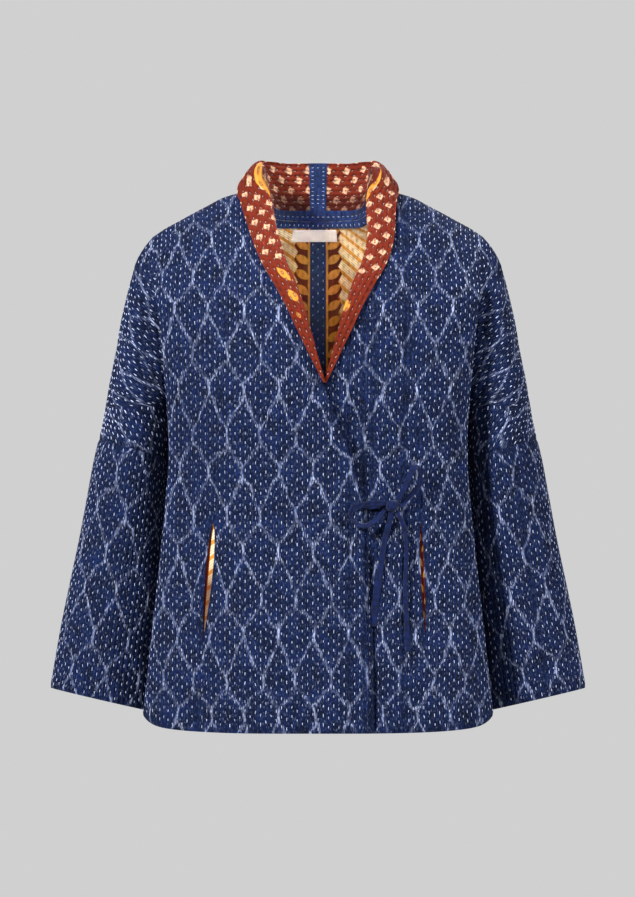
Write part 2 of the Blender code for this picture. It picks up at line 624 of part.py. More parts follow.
def ribbon(name, route, colour, steps):
    """A flat tie along a route, with plain ends."""
    knots = np.linspace(0, 1, len(route["x"]))
    t = np.linspace(0, 1, steps)
    get = {key: smooth(knots, route[key], t) for key in route}
    depth = np.array([front_depth("left", x, -z) for x, z in zip(get["x"], get["height"])])
    middle = np.stack([get["x"], depth - get["off"], get["height"]], -1)
    along = unit(np.gradient(middle, axis=0))
    flat = unit(np.cross(along, np.array([0.0, -1.0, 0.0])))
    face = np.cross(flat, along)
    turn = np.radians(get["turn"])[:, None]
    wide = flat * np.cos(turn) + face * np.sin(turn)
    face = np.cross(along, wide)
    angle = np.linspace(0, 2 * np.pi, TIE_SIDES, endpoint=False)[None, :, None] + np.pi / TIE_SIDES
    reach = np.sign(np.cos(angle)) * np.abs(np.cos(angle)) ** 0.7 * get["wide"][:, None, None] / 2
    ring = middle[:, None] + wide[:, None] * reach + face[:, None] * np.sin(angle) * TIE_THICK / 2
    points = ring.reshape(-1, 3)
    faces = []
    for i in range(steps - 1):
        for k in range(TIE_SIDES):
            after = (k + 1) % TIE_SIDES
            a, b = i * TIE_SIDES, (i + 1) * TIE_SIDES
            faces.append((a + after, b + after, b + k, a + k))
    faces += [tuple(reversed(range(TIE_SIDES))), tuple(range(len(points) - TIE_SIDES, len(points)))]
    add_mesh(name, points, faces, colour)


def knot(name, colour):
    """The bow's knot: a round pad with flattened sides."""
    rows, columns = 7, 12
    x, height, off = KNOT
    middle = np.array([x, front_depth("left", x, -height) - off, height])
    up = np.linspace(-np.pi / 2, np.pi / 2, rows)[1:-1, None]
    turn = np.linspace(0, 2 * np.pi, columns, endpoint=False)[None, :]
    shape = [np.cos(up) * np.cos(turn), np.cos(up) * np.sin(turn), np.sin(up) + 0 * turn]
    shape = [np.sign(v) * np.abs(v) ** 0.75 for v in shape]
    body_points = np.stack(shape, -1).reshape(-1, 3)
    points = np.concatenate([body_points, [[0, 0, -1], [0, 0, 1]]]) * np.array(KNOT_HALF) + middle
    faces = []
    last = rows - 3
    for i in range(last):
        for k in range(columns):
            after = (k + 1) % columns
            a, b = i * columns, (i + 1) * columns
            faces.append((a + k, a + after, b + after, b + k))
    for k in range(columns):
        after = (k + 1) % columns
        faces.append((len(points) - 2, after, k))
        faces.append((len(points) - 1, last * columns + k, last * columns + after))
    add_mesh(name, points, faces, colour)


def add_mesh(name, points, faces, colour):
    mesh = bpy.data.meshes.new(name)
    mesh.from_pydata((points / 1000).tolist(), [], faces)
    mesh.materials.append(colour)
    made = bpy.data.objects.new(name, mesh)
    bpy.context.scene.collection.objects.link(made)
    return made


# Colour of each cloth, and its roughness
COLOURS = {
    "indigo": ((38, 52, 98), 0.9),
    "collar print": ((160, 58, 36), 0.9),
    "blue binding": ((27, 41, 72), 0.88),
    "label cloth": ((226, 214, 208), 0.8),
    "pocket print": ((212, 152, 74), 0.9),
    "tie cloth": ((40, 52, 96), 0.85),
}


def clear_scene():
    for found in list(bpy.data.objects):
        bpy.data.objects.remove(found)


def main():
    clear_scene()
    paint = {name: material(name, *look) for name, look in COLOURS.items()}
    cloth = {}
    for side in ("right", "left"):
        cloth[f"front_{side}"] = body_panel(side, "front")
        cloth[f"back_{side}"] = body_panel(side, "back")
        cloth[f"sleeve_{side}"] = sleeve_panel(side)
    add_normals(cloth)
    part_shoulder_seams(cloth)
    for name, piece in cloth.items():
        add_wall(name, piece, paint["indigo"])
    collars = {}
    raised = {}
    for side in ("right", "left"):
        collars[f"collar_{side}"], raised[f"collar_{side}"] = collar_panel(cloth, side)
    add_normals(collars)
    for name, piece in collars.items():
        add_wall(name, piece, paint["collar print"], raised[name])
    add_collar_strip(collars, paint)
    add_neck_trims(cloth, paint)
    for side in ("right", "left"):
        add_pocket_edge(cloth, side, paint)
    for name, route in TIES.items():
        ribbon(name, route, paint["tie cloth"], 4 if name == "tie_stub" else 15)
    knot("tie_knot", paint["tie cloth"])


main()
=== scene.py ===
"""Looks of a kantha jacket: quilted cloth, its stitches, prints, trims, the bow and the studio.

Every surface repeats the jacket's own forms as a function of a grid column and a row. Lengths are in
millimetres until a mesh is made, and the frame's and Blender's are in metres.
"""

import functools

import bpy
import numpy as np
from mathutils import Color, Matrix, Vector


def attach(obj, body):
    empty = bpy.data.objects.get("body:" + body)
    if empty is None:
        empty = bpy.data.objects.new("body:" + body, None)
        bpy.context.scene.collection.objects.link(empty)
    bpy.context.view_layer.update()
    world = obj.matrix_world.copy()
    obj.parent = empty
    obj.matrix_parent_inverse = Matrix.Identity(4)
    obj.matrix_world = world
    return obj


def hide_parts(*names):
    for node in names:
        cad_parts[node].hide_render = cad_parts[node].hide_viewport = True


bl_info = {
    "name": "Kantha Jacket",
    "version": (1, 0, 0),
    "blender": (4, 5, 0),
    "location": "3D View > Sidebar > Jacket",
    "description": "Makes the cloth, stitches, trims and bow of a quilted jacket round its packed model",
    "category": "Add Mesh",
}

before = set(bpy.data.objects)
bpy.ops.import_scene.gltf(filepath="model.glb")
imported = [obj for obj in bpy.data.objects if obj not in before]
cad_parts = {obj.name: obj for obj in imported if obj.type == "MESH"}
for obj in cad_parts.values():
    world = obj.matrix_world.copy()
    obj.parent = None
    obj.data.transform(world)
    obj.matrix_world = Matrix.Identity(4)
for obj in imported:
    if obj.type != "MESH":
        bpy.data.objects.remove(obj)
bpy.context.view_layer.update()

# Driving sizes
WALL = 2.0  # quilted cloth
THIN = 1.0  # bindings, label and pocket edges
GAP = 0.3  # between pieces at a seam
HEM = 628.0  # drop of the hem at the centre
HEM_SIDE = 606.0  # drop of the hem at the side seams
UNDERARM = 240.0  # drop of the point where side seam and sleeve meet
ARMHOLE = 278.5  # drop of the sleeve seam on the outer side of the arm
CUFF = 576.0  # drop of the cuff on its outer side
NECK = 64.0  # half width of the neck at the shoulder seams
NECK_TOP = 22.0  # height of the shoulder seam at the neck
NECK_BACK = (62.0, -7.0)  # depth and height of the neck seam at the centre back
SEAM_DEPTH = 15.0  # depth of the side seams
SHOULDER_TIP = 198.0  # half width where the shoulder seam turns down the arm
HEM_HALF = 208.0  # half width of the hem
LIFT = 150.0  # rows down to this drop still rise with the shoulder seam
CREASE_TOP = 92.0  # drop at which the notch between body and arm begins
ROUNDED = (55, 108)  # the shoulder rounds a section off down to the first drop, and no longer at the second
TILT = (0.28, 0.05)  # slope of the sleeve seam round the arm, and how much less it is at the cuff
# How the cloth swells out below the shoulder seam: over which drop, and the power of that curve
SWELL = {"front": (140, 0.8), "back": (110, 0.55), "tip": (62, 0.5)}
CROSS = 15.0  # the overlap sets the neck opening this far over to the wearer's left
LAYER = 5.0  # the left front lies this far inside the right one where they overlap
TIE_THICK = 2.4


def table(names, *rows):
    """One array for each named column."""
    return dict(zip(names.split(), np.array(rows, float).T))


SHOULDER = table(
    "across height",
    (64, 22), (80, 20), (96, 16.5), (115, 10.5), (133, 1), (150, -8), (168, -18), (184.5, -27), (198, -36),
)
OUTLINE = table(
    "drop across",
    (36, 198), (46, 206.5), (56, 213), (65, 217.5), (84, 223), (113, 230), (142, 236.5), (170, 241),
    (199, 247), (227, 252), (256, 257), (303, 268), (351, 277), (399, 286), (446, 296), (494, 306),
    (576, 320.5),
)
# The edge of the right front: its neck seam down to the overlap, then its free edge
EDGE = table(
    "drop across",
    (-22, 64), (-4, 61.5), (24, 55.5), (57, 47), (82, 37), (107, 26.5), (139, 16.5), (170, 7), (203, -3),
    (232, -13), (258, -23.8), (301, -39), (346, -50), (391, -54.3), (445, -55.6), (564, -60.7), (628, -63),
)
FRONT = table(
    "drop depth fold fold_depth crease arm arm_depth",
    (0, -66, 158, -20, 168, 182, -8), (40, -78, 188, -42, 192, 202, -24),
    (70, -88, 194, -50, 191, 205, -34), (106, -100, 193, -57, 187, 208, -41),
    (144, -112, 189, -63, 180, 210, -46), (187, -120, 185, -66, 173, 211, -50),
    (240, -125, 180, -67, 167, 214, -53), (278, -124, 178, -66, 162, 218, -53),
    (391, -126, 185, -66, 165, 231, -46), (505, -132, 197, -66, 175, 246, -40),
    (576, -136, 204, -65, 183, 256, -36), (628, -139, 209, -64, 187, 262, -34),
)
BACK = table(
    "drop depth fold fold_depth crease arm arm_depth",
    (0, 76, 158, 30, 168, 182, 26), (40, 86, 186, 52, 190, 200, 40),
    (70, 93, 192, 62, 189, 204, 48), (106, 100, 190, 70, 185, 207, 55),
    (144, 105, 187, 77, 179, 209, 62), (187, 107, 184, 82, 173, 211, 68),
    (240, 106, 180, 84, 167, 214, 73), (278, 104, 178, 84, 162, 218, 75),
    (391, 108, 183, 85, 165, 231, 72), (505, 116, 193, 86, 175, 246, 68),
    (576, 120, 199, 86, 183, 256, 65), (628, 123, 203, 86, 187, 262, 64),
)
# The column of grid lines that the pocket slits are cut along
POCKET_LINE = {
    "right": table("drop across", (0, 94), (106, 106), (240, 117), (378, 125), (518, 137), (628, 145)),
    "left": table("drop across", (0, 94), (106, 106), (240, 116), (378, 122), (518, 128), (628, 133)),
}
SLITS = {  # drop of the top and the bottom, widest opening
    "right": (378.0, 518.0, 9.0),
    "left": (378.0, 518.0, 4.5),
}
SLEEVE = table("drop inner", (240, 168.5), (256, 173), (278, 177), (399, 183), (576, 195))
# Soft folds: side, face, across, drop at its middle, half width, half length, depth
FOLDS = (
    ("right", "front", 128, 105, 20, 75, -4.0), ("left", "front", 130, 120, 24, 80, -3.5),
    ("right", "front", 92, 590, 26, 120, 4.0), ("right", "front", 140, 600, 24, 90, -5.0),
    ("right", "front", 20, 600, 30, 110, -2.5), ("left", "front", 110, 600, 26, 110, -5.0),
    ("left", "front", 160, 580, 24, 100, 3.5), ("right", "back", 40, 600, 34, 160, 6.0),
    ("left", "back", 60, 600, 36, 170, 6.0), ("right", "back", 120, 600, 34, 150, -6.0),
    ("left", "back", 140, 600, 34, 150, -6.0), ("right", "front", 240, 430, 30, 60, -3.0),
    ("left", "front", 250, 410, 30, 60, -3.0),
)

# Grid lines across each half: the columns at which its stations lie
FRONT_COLUMNS = {"mid": 9, "fold": 14, "crease": 18, "arm": 22, "outer": 26}
BACK_COLUMNS = {"mid": 5, "fold": 9, "crease": 13, "arm": 17, "outer": 21}
# Rows at which the front edge carries the collar
EDGE_ROWS = (0, 5, 12, 22, 36, 54, 74, 96, 120, 146, 172, 196, 216, 231, 240, 263)


def way(side):
    """The right side lies towards -X, and distances across it are negative."""
    return -1 if side == "right" else 1


def stations_of(face):
    return FRONT_COLUMNS if face == "front" else BACK_COLUMNS


def outwards(face):
    """The front faces -Y."""
    return -1 if face == "front" else 1


def smooth(knots, values, at):
    """A cubic curve through the values, level beyond its ends."""
    slopes = np.gradient(values, knots)
    at = np.clip(at, knots[0], knots[-1])
    i = np.clip(np.searchsorted(knots, at) - 1, 0, len(knots) - 2)
    step = knots[i + 1] - knots[i]
    t = (at - knots[i]) / step
    start = (1 + 2 * t) * (1 - t) ** 2 * values[i] + t * (1 - t) ** 2 * step * slopes[i]
    end = t * t * (3 - 2 * t) * values[i + 1] + t * t * (t - 1) * step * slopes[i + 1]
    return start + end


def read(source, name, at):
    """A column of a table at these drops."""
    return smooth(source["drop"], source[name], at)


def share(start, end, at):
    """How far along from start to end, from 0 to 1."""
    return np.clip((at - start) / (end - start), 0, 1)


def ramp(start, end, at):
    """The same with level ends: t squared (3 - 2 t)."""
    t = share(start, end, at)
    return t * t * (3 - 2 * t)


def bezier(a, b, c, d, t):
    return (1 - t) ** 3 * a + 3 * t * (1 - t) ** 2 * b + 3 * t * t * (1 - t) * c + t ** 3 * d


def seam_depth(drop):
    """Depth of the seam along the shoulder and down the outer arm."""
    return 8 + 6 * ramp(60, 560, drop)


def edge_across(side, drop):
    """The front edge; the overlap moves the left one over."""
    moved = CROSS * ramp(-20, 60, drop) * (1 - ramp(260, 420, drop))
    return read(EDGE, "across", drop) + (moved if side == "left" else 0)


def crease_depth(face, drop):
    """The notch between body and arm: it deepens round to the underarm point."""
    reach = -57 if face == "front" else 44
    return SEAM_DEPTH + reach * np.sqrt(1 - share(CREASE_TOP, UNDERARM, drop) ** 2)


def recess(side, across, drop):
    """How far the left front lies inside where the right one covers it."""
    if side == "right":
        return 0 * across
    under = LAYER * (1 - ramp(62, 100, across)) * ramp(120, 190, drop)
    edge = -read(EDGE, "across", drop)
    hollow = 8 * np.exp(-(((across - edge - 14) / 24) ** 2))
    return under + hollow * ramp(190, 250, drop) * (1 - ramp(330, 420, drop))


def folds(side, face, across, drop):
    """The sum of the soft folds, outwards."""
    out = 0 * across
    for where, on, at, middle, wide, tall, depth in FOLDS:
        if (where, on) == (side, face):
            out = out + depth * np.exp(-(((across - at) / wide) ** 2) - ((drop - middle) / tall) ** 2)
    return out * (ramp(0, 40, across) if face == "back" else 1)


def section(side, face, column, row):
    """Distance across and depth of a level section, before the shoulder rounds it off."""
    stations = stations_of(face)
    shape = FRONT if face == "front" else BACK
    mid, fold, crease, arm_at, outer = (stations[name] for name in ("mid", "fold", "crease", "arm", "outer"))
    lift = 1 - ramp(0, LIFT, row)
    get = {name: read(shape, name, row) for name in shape if name != "drop"}
    get["outer"] = read(OUTLINE, "across", row + 36 * lift)
    ends = seam_depth(row)
    notch = crease_depth(face, row)
    if face == "front":
        start = edge_across(side, row - NECK_TOP * lift)
        middle = read(POCKET_LINE[side], "across", row)
        across = start + (middle - start) * share(0, mid, column)
    else:
        middle = NECK + 34 * ramp(0, 300, row)
        across = middle * np.sin(np.pi / 2 * share(0, mid, column))
    across = across + (get["fold"] - middle) * np.sin(np.pi / 2 * share(mid, fold, column))
    part = share(0, get["fold"], np.abs(across))
    depth = get["fold_depth"] + (get["depth"] - get["fold_depth"]) * (1 - part ** 2.4) ** 0.6
    t = share(fold, crease, column)
    turn = (notch - get["fold_depth"]) / 2
    side_across = bezier(get["fold"], get["fold"], get["crease"], get["crease"], t)
    side_depth = bezier(get["fold_depth"], get["fold_depth"] + turn, notch - turn, notch, t)
    start = np.where(row > UNDERARM, read(SLEEVE, "inner", row), get["crease"])
    t = share(crease, arm_at, column)
    bend = 0.55 * (notch - get["arm_depth"])
    reach = 0.55 * (get["arm"] - start)
    arm_across = bezier(start, start, get["arm"] - reach, get["arm"], t)
    arm_depth = bezier(notch, notch - bend, get["arm_depth"], get["arm_depth"], t)
    t = share(arm_at, outer, column) * np.pi / 2
    out_across = get["arm"] + (get["outer"] - get["arm"]) * np.sin(t)
    out_depth = ends + (get["arm_depth"] - ends) * np.cos(t)
    where = [column <= fold, column <= crease, column <= arm_at]
    across = np.select(where, [across, side_across, arm_across], out_across)
    depth = np.select(where, [depth, side_depth, arm_depth], out_depth)
    whole = share(0, get["outer"], np.abs(across))
    round_depth = ends + (get["depth"] - ends) * (1 - whole ** 2.6) ** 0.62
    part = ramp(*ROUNDED, row)
    return across, round_depth + (depth - round_depth) * part, ends


def hem_drop(across, past_fold):
    """The hem rises a little to the sides, and round the corner to the side seam."""
    part = np.abs(across) / HEM_HALF
    front = HEM - 9 * part ** 4 - 10 * part ** 24
    return front + (HEM_SIDE - front) * past_fold


def on_side(side, across, depth, height):
    """Points in space from distances across on this side."""
    return np.stack([way(side) * across, depth, height], -1)


def body(side, face, column, row):
    """Points of the front or back, from its column and its row below the shoulder."""
    column, row = np.broadcast_arrays(np.asarray(column, float), np.asarray(row, float))
    stations = stations_of(face)
    across, depth, ends = section(side, face, column, row)
    lift = 1 - ramp(0, LIFT, row)
    inside = share(0, NECK, across)
    top = smooth(SHOULDER["across"], SHOULDER["height"], across)
    start = ends
    if face == "back":
        dip = (NECK_TOP - NECK_BACK[1]) * (1 - inside ** 12) ** 0.8 * (1 - ramp(0, 90, row))
        top = np.where(across < NECK, NECK_TOP - dip, top)
        start = ends + (NECK_BACK[0] - ends) * (1 - inside ** 2) ** (0.5 + ramp(0, 25, row))
    part = share(NECK, SHOULDER_TIP, across)
    tall, power = (near * (1 - part) + far * part for near, far in zip(SWELL[face], SWELL["tip"]))
    swell = np.sin(np.pi / 2 * share(0, tall, row)) ** power
    depth = start + (depth - start) * swell
    inner = 1 - share(stations["fold"], stations["crease"], column)
    moved = folds(side, face, across, row) * outwards(face) * inner ** 2
    if face == "front":
        moved = moved + recess(side, across, row) * inner
    depth = depth + moved * swell
    past = ramp(stations["fold"], stations["crease"], column)
    low = UNDERARM + (row - UNDERARM) * (hem_drop(across, past) - UNDERARM) / (HEM - UNDERARM)
    drop = np.where(row > UNDERARM, low, row - top * lift)
    return on_side(side, across, depth, -drop)


def arm(side, face, column, row):
    """Points of the arm from the underarm point to the cuff; its rings tilt with the sleeve seam."""
    column, row = np.broadcast_arrays(np.asarray(column, float), np.asarray(row, float))
    stations = stations_of(face)
    # A hair past the crease and the underarm's level, the arm's inner side is a seam of its own
    past = np.maximum(column, stations["crease"] + 1e-6), np.maximum(row, UNDERARM + 1e-6)
    across, depth, _ = section(side, face, *past)
    bulge = np.sin(np.pi * share(stations["crease"], stations["outer"], column))
    depth = depth + folds(side, face, across, row) * outwards(face) * bulge * ramp(260, 320, row)
    tilt = TILT[0] * ramp(UNDERARM, ARMHOLE, row) - TILT[1] * ramp(ARMHOLE, CUFF, row)
    lower = tilt * (read(OUTLINE, "across", row) - across)
    return on_side(side, across, depth, -row - lower)


# Section of the collar: distance along the neck seam, then three points from the seam, each up and out
COLLAR = table(
    "run up_1 out_1 up_2 out_2 up_3 out_3",
    (0, 20, 1, 40, 3, 59.5, 7), (30, 20, 1, 40, 4, 59, 8), (60, 20, 0, 40, 5, 57.5, 9),
    (75, 24, 0, 53, 4, 46, 13), (85, 30, -2, 57, 4, 24, 20), (100, 27, -6, 37, 9, 3.5, 31.5),
    (125, 18, -10, 20, 0, 5, 31),
    (160, 13, -10, 15, -1, 5, 28), (200, 9, -9, 10, -4, 5, 25), (250, 7, -8, 8, -5, 4.5, 19),
    (300, 5, -7, 6, -5, 4, 12), (340, 4, -5, 4.5, -4, 4, 5), (372, 3.5, -4, 4, -3.5, 3.8, -0.5),
)
COLLAR_DROP = 212.0  # drop of the point where the collar runs out
COLLAR_LINES = 131  # mesh lines along it
COLLAR_ROWS = 61  # and across it
RIDGE = 0.8  # height of the quilting ridges on the collar
PITCH = 6.2  # between the rows of quilting
# Smaller creases that only show close up, in the same columns
FOLDS += (
    ("right", "front", 168, 150, 9, 46, -2.2), ("left", "front", 170, 160, 9, 50, -2.2),
    ("right", "front", 60, 470, 14, 60, -1.6), ("left", "front", 84, 470, 14, 70, -1.6),
    ("right", "front", 118, 330, 12, 60, 1.4), ("left", "front", 132, 330, 14, 60, 1.6),
    ("right", "front", 250, 330, 14, 26, -2.0), ("right", "front", 262, 500, 16, 36, -1.8),
    ("left", "front", 250, 320, 14, 30, -2.0), ("left", "front", 268, 480, 16, 40, -1.8),
    ("right", "back", 90, 300, 20, 70, -2.0), ("left", "back", 100, 330, 20, 80, -2.0),
    # Beside the overlapping edge, and where the bow draws the cloth in
    ("left", "front", 24, 200, 9, 34, -4.5), ("left", "front", 40, 262, 9, 34, -5.0),
    ("left", "front", 56, 318, 8, 26, -4.5), ("left", "front", 63, 430, 4, 34, -4.5),
    ("left", "front", 66, 500, 4, 50, -5.0), ("left", "front", 68, 590, 4, 60, -5.0),
    ("left", "front", 92, 300, 8, 40, -1.8), ("left", "front", 112, 410, 10, 50, -1.8),
)

# Quilting of the body, and its mesh
PUFF = 0.7  # height of the ridges on the body
LINE = PITCH / 3  # between the upright mesh lines: three to a quilting row
FINE = np.linspace(0, HEM, 1300)  # rows that distances down the cloth are measured at
FINE_ROW = 2.75  # mesh rows down to the underarm, where the grain turns
COARSE_ROW = 5.5  # mesh rows below it
ARM_FINE = np.linspace(UNDERARM, ARMHOLE, 15)  # mesh rows of the arm down to its sleeve seam
ARM_LINES = 46  # mesh lines over the dropped shoulder
SLEEVE_FINE = np.linspace(ARMHOLE, CUFF, 61)
STITCH = 11.0  # from one stitch of a row to the next
# Row k of the quilting starts further down by this share of a stitch times sin(wave k), so as not to be even
ROW_SHIFT = 0.13
ROW_WAVE = 2.4
TAPE_STITCH = (3.3, 0.9)  # length and width of the stitches on the bindings
TIP = np.radians(34)  # how far the grain tips outwards on the dropped shoulder
SEAM_DIP = 0.9  # a seam or a folded edge lies this much lower
SEAM_WIDE = 5.0
HEM_FOLD = 30.0  # height of the turned hem
GATHER = 1.1  # height of the gathers beside the arm's crease
KINK = (190.0, -89.0, 16.0, 11.0)  # the tight notch beside the arm: across, height, half width, half height
TRELLIS = (42.0, 97.0)  # repeat of the undyed lines across and down
STEM = 8.0  # length of the upright part of a line, on each side of where two meet
SLANT = 29.5  # length down of its slanting part

# The bow's stretches, as seen from the front: x, height, distance in front of the left front,
# width, and how far the tie is turned from lying flat, in degrees
TIE_ROUTES = {
    "tie_stub": (
        (47.6, -359.3, 4.8, 7, 0), (60, -359, 3.4, 7, 5), (70, -358.4, 4.8, 7, 10),
        (80.8, -357.5, 7.8, 6, 10),
    ),
    "tie_loop_left": (
        (80.6, -355, 11, 5.5, 20), (70, -354.5, 15, 7.4, 14), (55, -356.5, 17.5, 7.8, 12),
        (43.5, -359.5, 18, 7, 26), (38.5, -367, 17, 6.2, 48), (43, -376, 14.5, 6.2, 38),
        (54, -382, 13, 6.4, 24), (67, -376, 11.5, 6.4, 22), (80, -362.6, 7.5, 5, 20),
    ),
    "tie_loop_right": (
        (94.3, -351.4, 11, 6, 0), (103, -336, 14.5, 7.6, 14), (110.5, -319, 16, 7.6, 24),
        (116.5, -311.5, 15.5, 7.2, 44), (121, -317, 13, 6.8, 46), (120, -333, 11, 7, 26),
        (110, -345.5, 9.5, 6.8, 14), (96, -358.5, 7, 5, 0),
    ),
    "tie_tail_left": (
        (86.4, -365.4, 9, 5.5, 0), (84.3, -378, 6.5, 6.2, 10), (79, -400, 4, 6.6, 12),
        (74, -433, 2.8, 7.8, 4), (68.5, -470, 2.4, 9, 0), (65.5, -501, 2.4, 9.4, 0),
    ),
    "tie_tail_right": (
        (92.1, -364.3, 7.6, 5.5, 0), (100, -378, 5.5, 5.4, -10), (104.5, -398, 4.6, 5.4, -25),
        (105, -425, 4, 5.4, -30), (103.5, -455, 3.4, 5.4, -20), (105, -490, 2.6, 6, -8),
        (107, -531, 2.5, 6.4, 0),
    ),
}
TIES = {name: table("x height off wide turn", *rows) for name, rows in TIE_ROUTES.items()}
KNOT = (87.5, -358.0, 9.0)  # x, height, distance in front of the left front
KNOT_HALF = (6.8, 5.0, 7.0)


def run_of(points):
    """The distance run along each row of points."""
    steps = np.linalg.norm(np.diff(points, axis=-2), axis=-1)
    return np.concatenate([np.zeros((*steps.shape[:-1], 1)), np.cumsum(steps, axis=-1)], axis=-1)


def unit(vectors):
    return vectors / np.maximum(np.linalg.norm(vectors, axis=-1, keepdims=True), 1e-9)


def surface_normals(points):
    """Unit normals of a grid of points, from its two directions: down the rows crossed with along them."""
    return unit(np.cross(np.gradient(points, axis=0), np.gradient(points, axis=1)))


def rows_at(at, knots, values):
    """Row by row, the values at these places between each row's knots."""
    return np.stack([np.interp(place_at, line, values) for place_at, line in zip(at, knots)])


def slit_half(side, row):
    """Half the opening of the pocket slit."""
    top, bottom, wide = SLITS[side]
    return wide / 2 * np.sin(np.pi * share(top, bottom, row) ** 0.75) ** 0.8


def grain(side, face, row):
    """Distance down the cloth from the underarm's level, along the line of the pocket slit."""
    run = run_of(body(side, face, stations_of(face)["mid"], FINE))
    return np.interp(row, FINE, run - np.interp(UNDERARM, FINE, run))


def down_columns(side, face, columns, rows):
    """Distance along grid columns from the underarm's level, for each row."""
    run = run_of(body(side, face, columns[:, None], rows)).T
    level = np.array([np.interp(UNDERARM, rows, line) for line in run.T])
    return run - level


def mesh_rows():
    """Rows of all body pieces: fine down to the underarm and coarser below; and how many are fine."""
    run = grain("right", "front", FINE)
    upper = np.linspace(run[0], 0, round(-run[0] / FINE_ROW) + 1)
    lower = np.linspace(0, run[-1], round(run[-1] / COARSE_ROW) + 1)[1:]
    rows = np.interp(np.concatenate([upper, lower]), run, FINE)
    rows[0] = 0
    rows[len(upper) - 1] = UNDERARM
    rows[-1] = HEM
    return rows, len(upper)


def across_lines(side, face, rows):
    """Grid columns of a fine section at each row, and their distance over the cloth from the middle."""
    columns = np.linspace(0, stations_of(face)["crease"], 360)
    points = body(side, face, columns[None, :], rows[:, None])
    start = points[:, :1, 0] * way(side)
    return columns, run_of(points) + start


def tipped(u, v, about, part):
    """Grain coordinates turned about a point by a part of the full tip."""
    across, along = u - about[0], v - about[1]
    turn = TIP * part
    return (
        about[0] + across * np.cos(turn) + along * np.sin(turn),
        about[1] - across * np.sin(turn) + along * np.cos(turn),
    )


def body_grid(side, face, rows, low, high, slit=0):
    """The body between two grid columns, on upright lines a third of a quilting row apart.

    A line that leaves the piece follows its edge, so that the edge is smooth. u is the distance over the
    cloth from the middle and v the distance down it.
    """
    columns, run = across_lines(side, face, rows)
    first = np.array([np.interp(low, columns, line) for line in run])[:, None]
    last = np.array([np.interp(high, columns, line) for line in run])[:, None]
    lines = np.arange(np.floor(first.min() / LINE), np.ceil(last.max() / LINE) + 1) * LINE
    u = np.clip(lines[None, :], first, last)
    column = rows_at(u, run, columns)
    column = np.where(u <= first, low, np.where(u >= last, high, column))
    row = rows[:, None] + 0 * column
    points = body(side, face, column, row)
    if slit:
        near = np.clip(1 - np.abs(column - FRONT_COLUMNS["mid"]), 0, 1)
        points[..., 0] += way(side) * slit * near * slit_half(side, row)
    drop = down_columns(side, face, columns[::4], rows)
    v = np.stack([np.interp(at, columns[::4], line) for at, line in zip(column, drop)])
    return {"points": points, "u": way(side) * u, "v": v, "column": column, "hem": v[-1:] - v}


def arm_grid(side, face, rows):
    """The dropped shoulder from the crease of the arm to its outer seam, down to the sleeve.

    Its grain tips outwards about a point on the crease, by more down to 90 mm below the shoulder.
    """
    stations = stations_of(face)
    columns = np.linspace(stations["crease"], stations["outer"], 160)
    below = ARM_FINE[1:]
    fine = np.concatenate([body(side, face, columns, rows[:, None]), arm(side, face, columns, below[:, None])])
    run = run_of(fine)
    over = np.linspace(0, 1, ARM_LINES)
    column = rows_at(over * run[:, -1:], run, columns)
    upper = body(side, face, column[: len(rows)], rows[:, None])
    lower = arm(side, face, column[len(rows):], below[:, None])
    points = np.concatenate([upper, lower])
    drop = np.concatenate([rows, below])
    _, across = across_lines(side, face, rows)
    tip = ramp(0, 90, drop)[:, None]
    start = np.concatenate([across[:, -1], np.full(len(below), across[-1, -1])])[:, None]
    start = start + (start[len(rows) // 4] - start) * tip
    u = start + over * run[:, -1:]
    down = run_of(fine[:, len(columns) // 2])
    v = (down - down[len(rows) - 1])[:, None] + 0 * u
    # Gathers where the arm hangs against the body, a little way in from the crease
    near = share(0, 0.12, over) * share(0.6, 0.25, over) * ramp(70, 130, drop)[:, None]
    bumps = np.sin(u / 2.1 + 1.2 * np.sin(v / 11)) * (0.6 + 0.4 * np.sin(v / 5.5 + u / 6))
    points = points + surface_normals(points) * (GATHER * near * bumps)[..., None]
    about = (start[len(rows) // 4, 0], v[len(rows) // 4, 0])
    across, along = tipped(u, v, about, tip)
    return {"points": points, "u": way(side) * across, "v": along, "column": column, "hem": 1e3 + 0 * u}


def sleeve_grid(side):
    """The sleeve round from its inner seam, with lines along it."""
    front, back = FRONT_COLUMNS, BACK_COLUMNS
    whole = front["outer"] - front["crease"] + back["outer"] - back["crease"]
    turn = np.linspace(0, whole, 500)

    def ring(turn):
        """Points of the sleeve at this many grid columns round from its inner seam."""
        row = SLEEVE_FINE[:, None]
        ahead = arm(side, "front", np.minimum(front["crease"] + turn, front["outer"]), row)
        behind = arm(side, "back", np.minimum(back["crease"] + whole - turn, back["outer"]), row)
        return np.where((turn <= front["outer"] - front["crease"])[..., None], ahead, behind)

    run = run_of(ring(turn[None, :]))
    count = 3 * round(run[:, -1].mean() / PITCH)
    at = rows_at(np.linspace(0, 1, count + 1) * run[:, -1:], run, turn)
    at[:, -1] = whole
    points = ring(at)
    u = (np.arange(count + 1) * LINE)[None, :] + 0 * at
    v = run_of(points[:, count // 3])[:, None] + 0 * u
    return {"points": points, "u": way(side) * u, "v": v, "column": 9 + at, "hem": 1e3 + 0 * u}


def same_places(points):
    """The first point of each place, to a thousandth of a millimetre, and which place each point is at."""
    cell = np.round(points * 1000).astype(np.int64) + (1 << 20)
    key = (cell[:, 0] << 42) | (cell[:, 1] << 21) | cell[:, 2]
    _, first, index = np.unique(key, return_index=True, return_inverse=True)
    return first, index.reshape(-1)


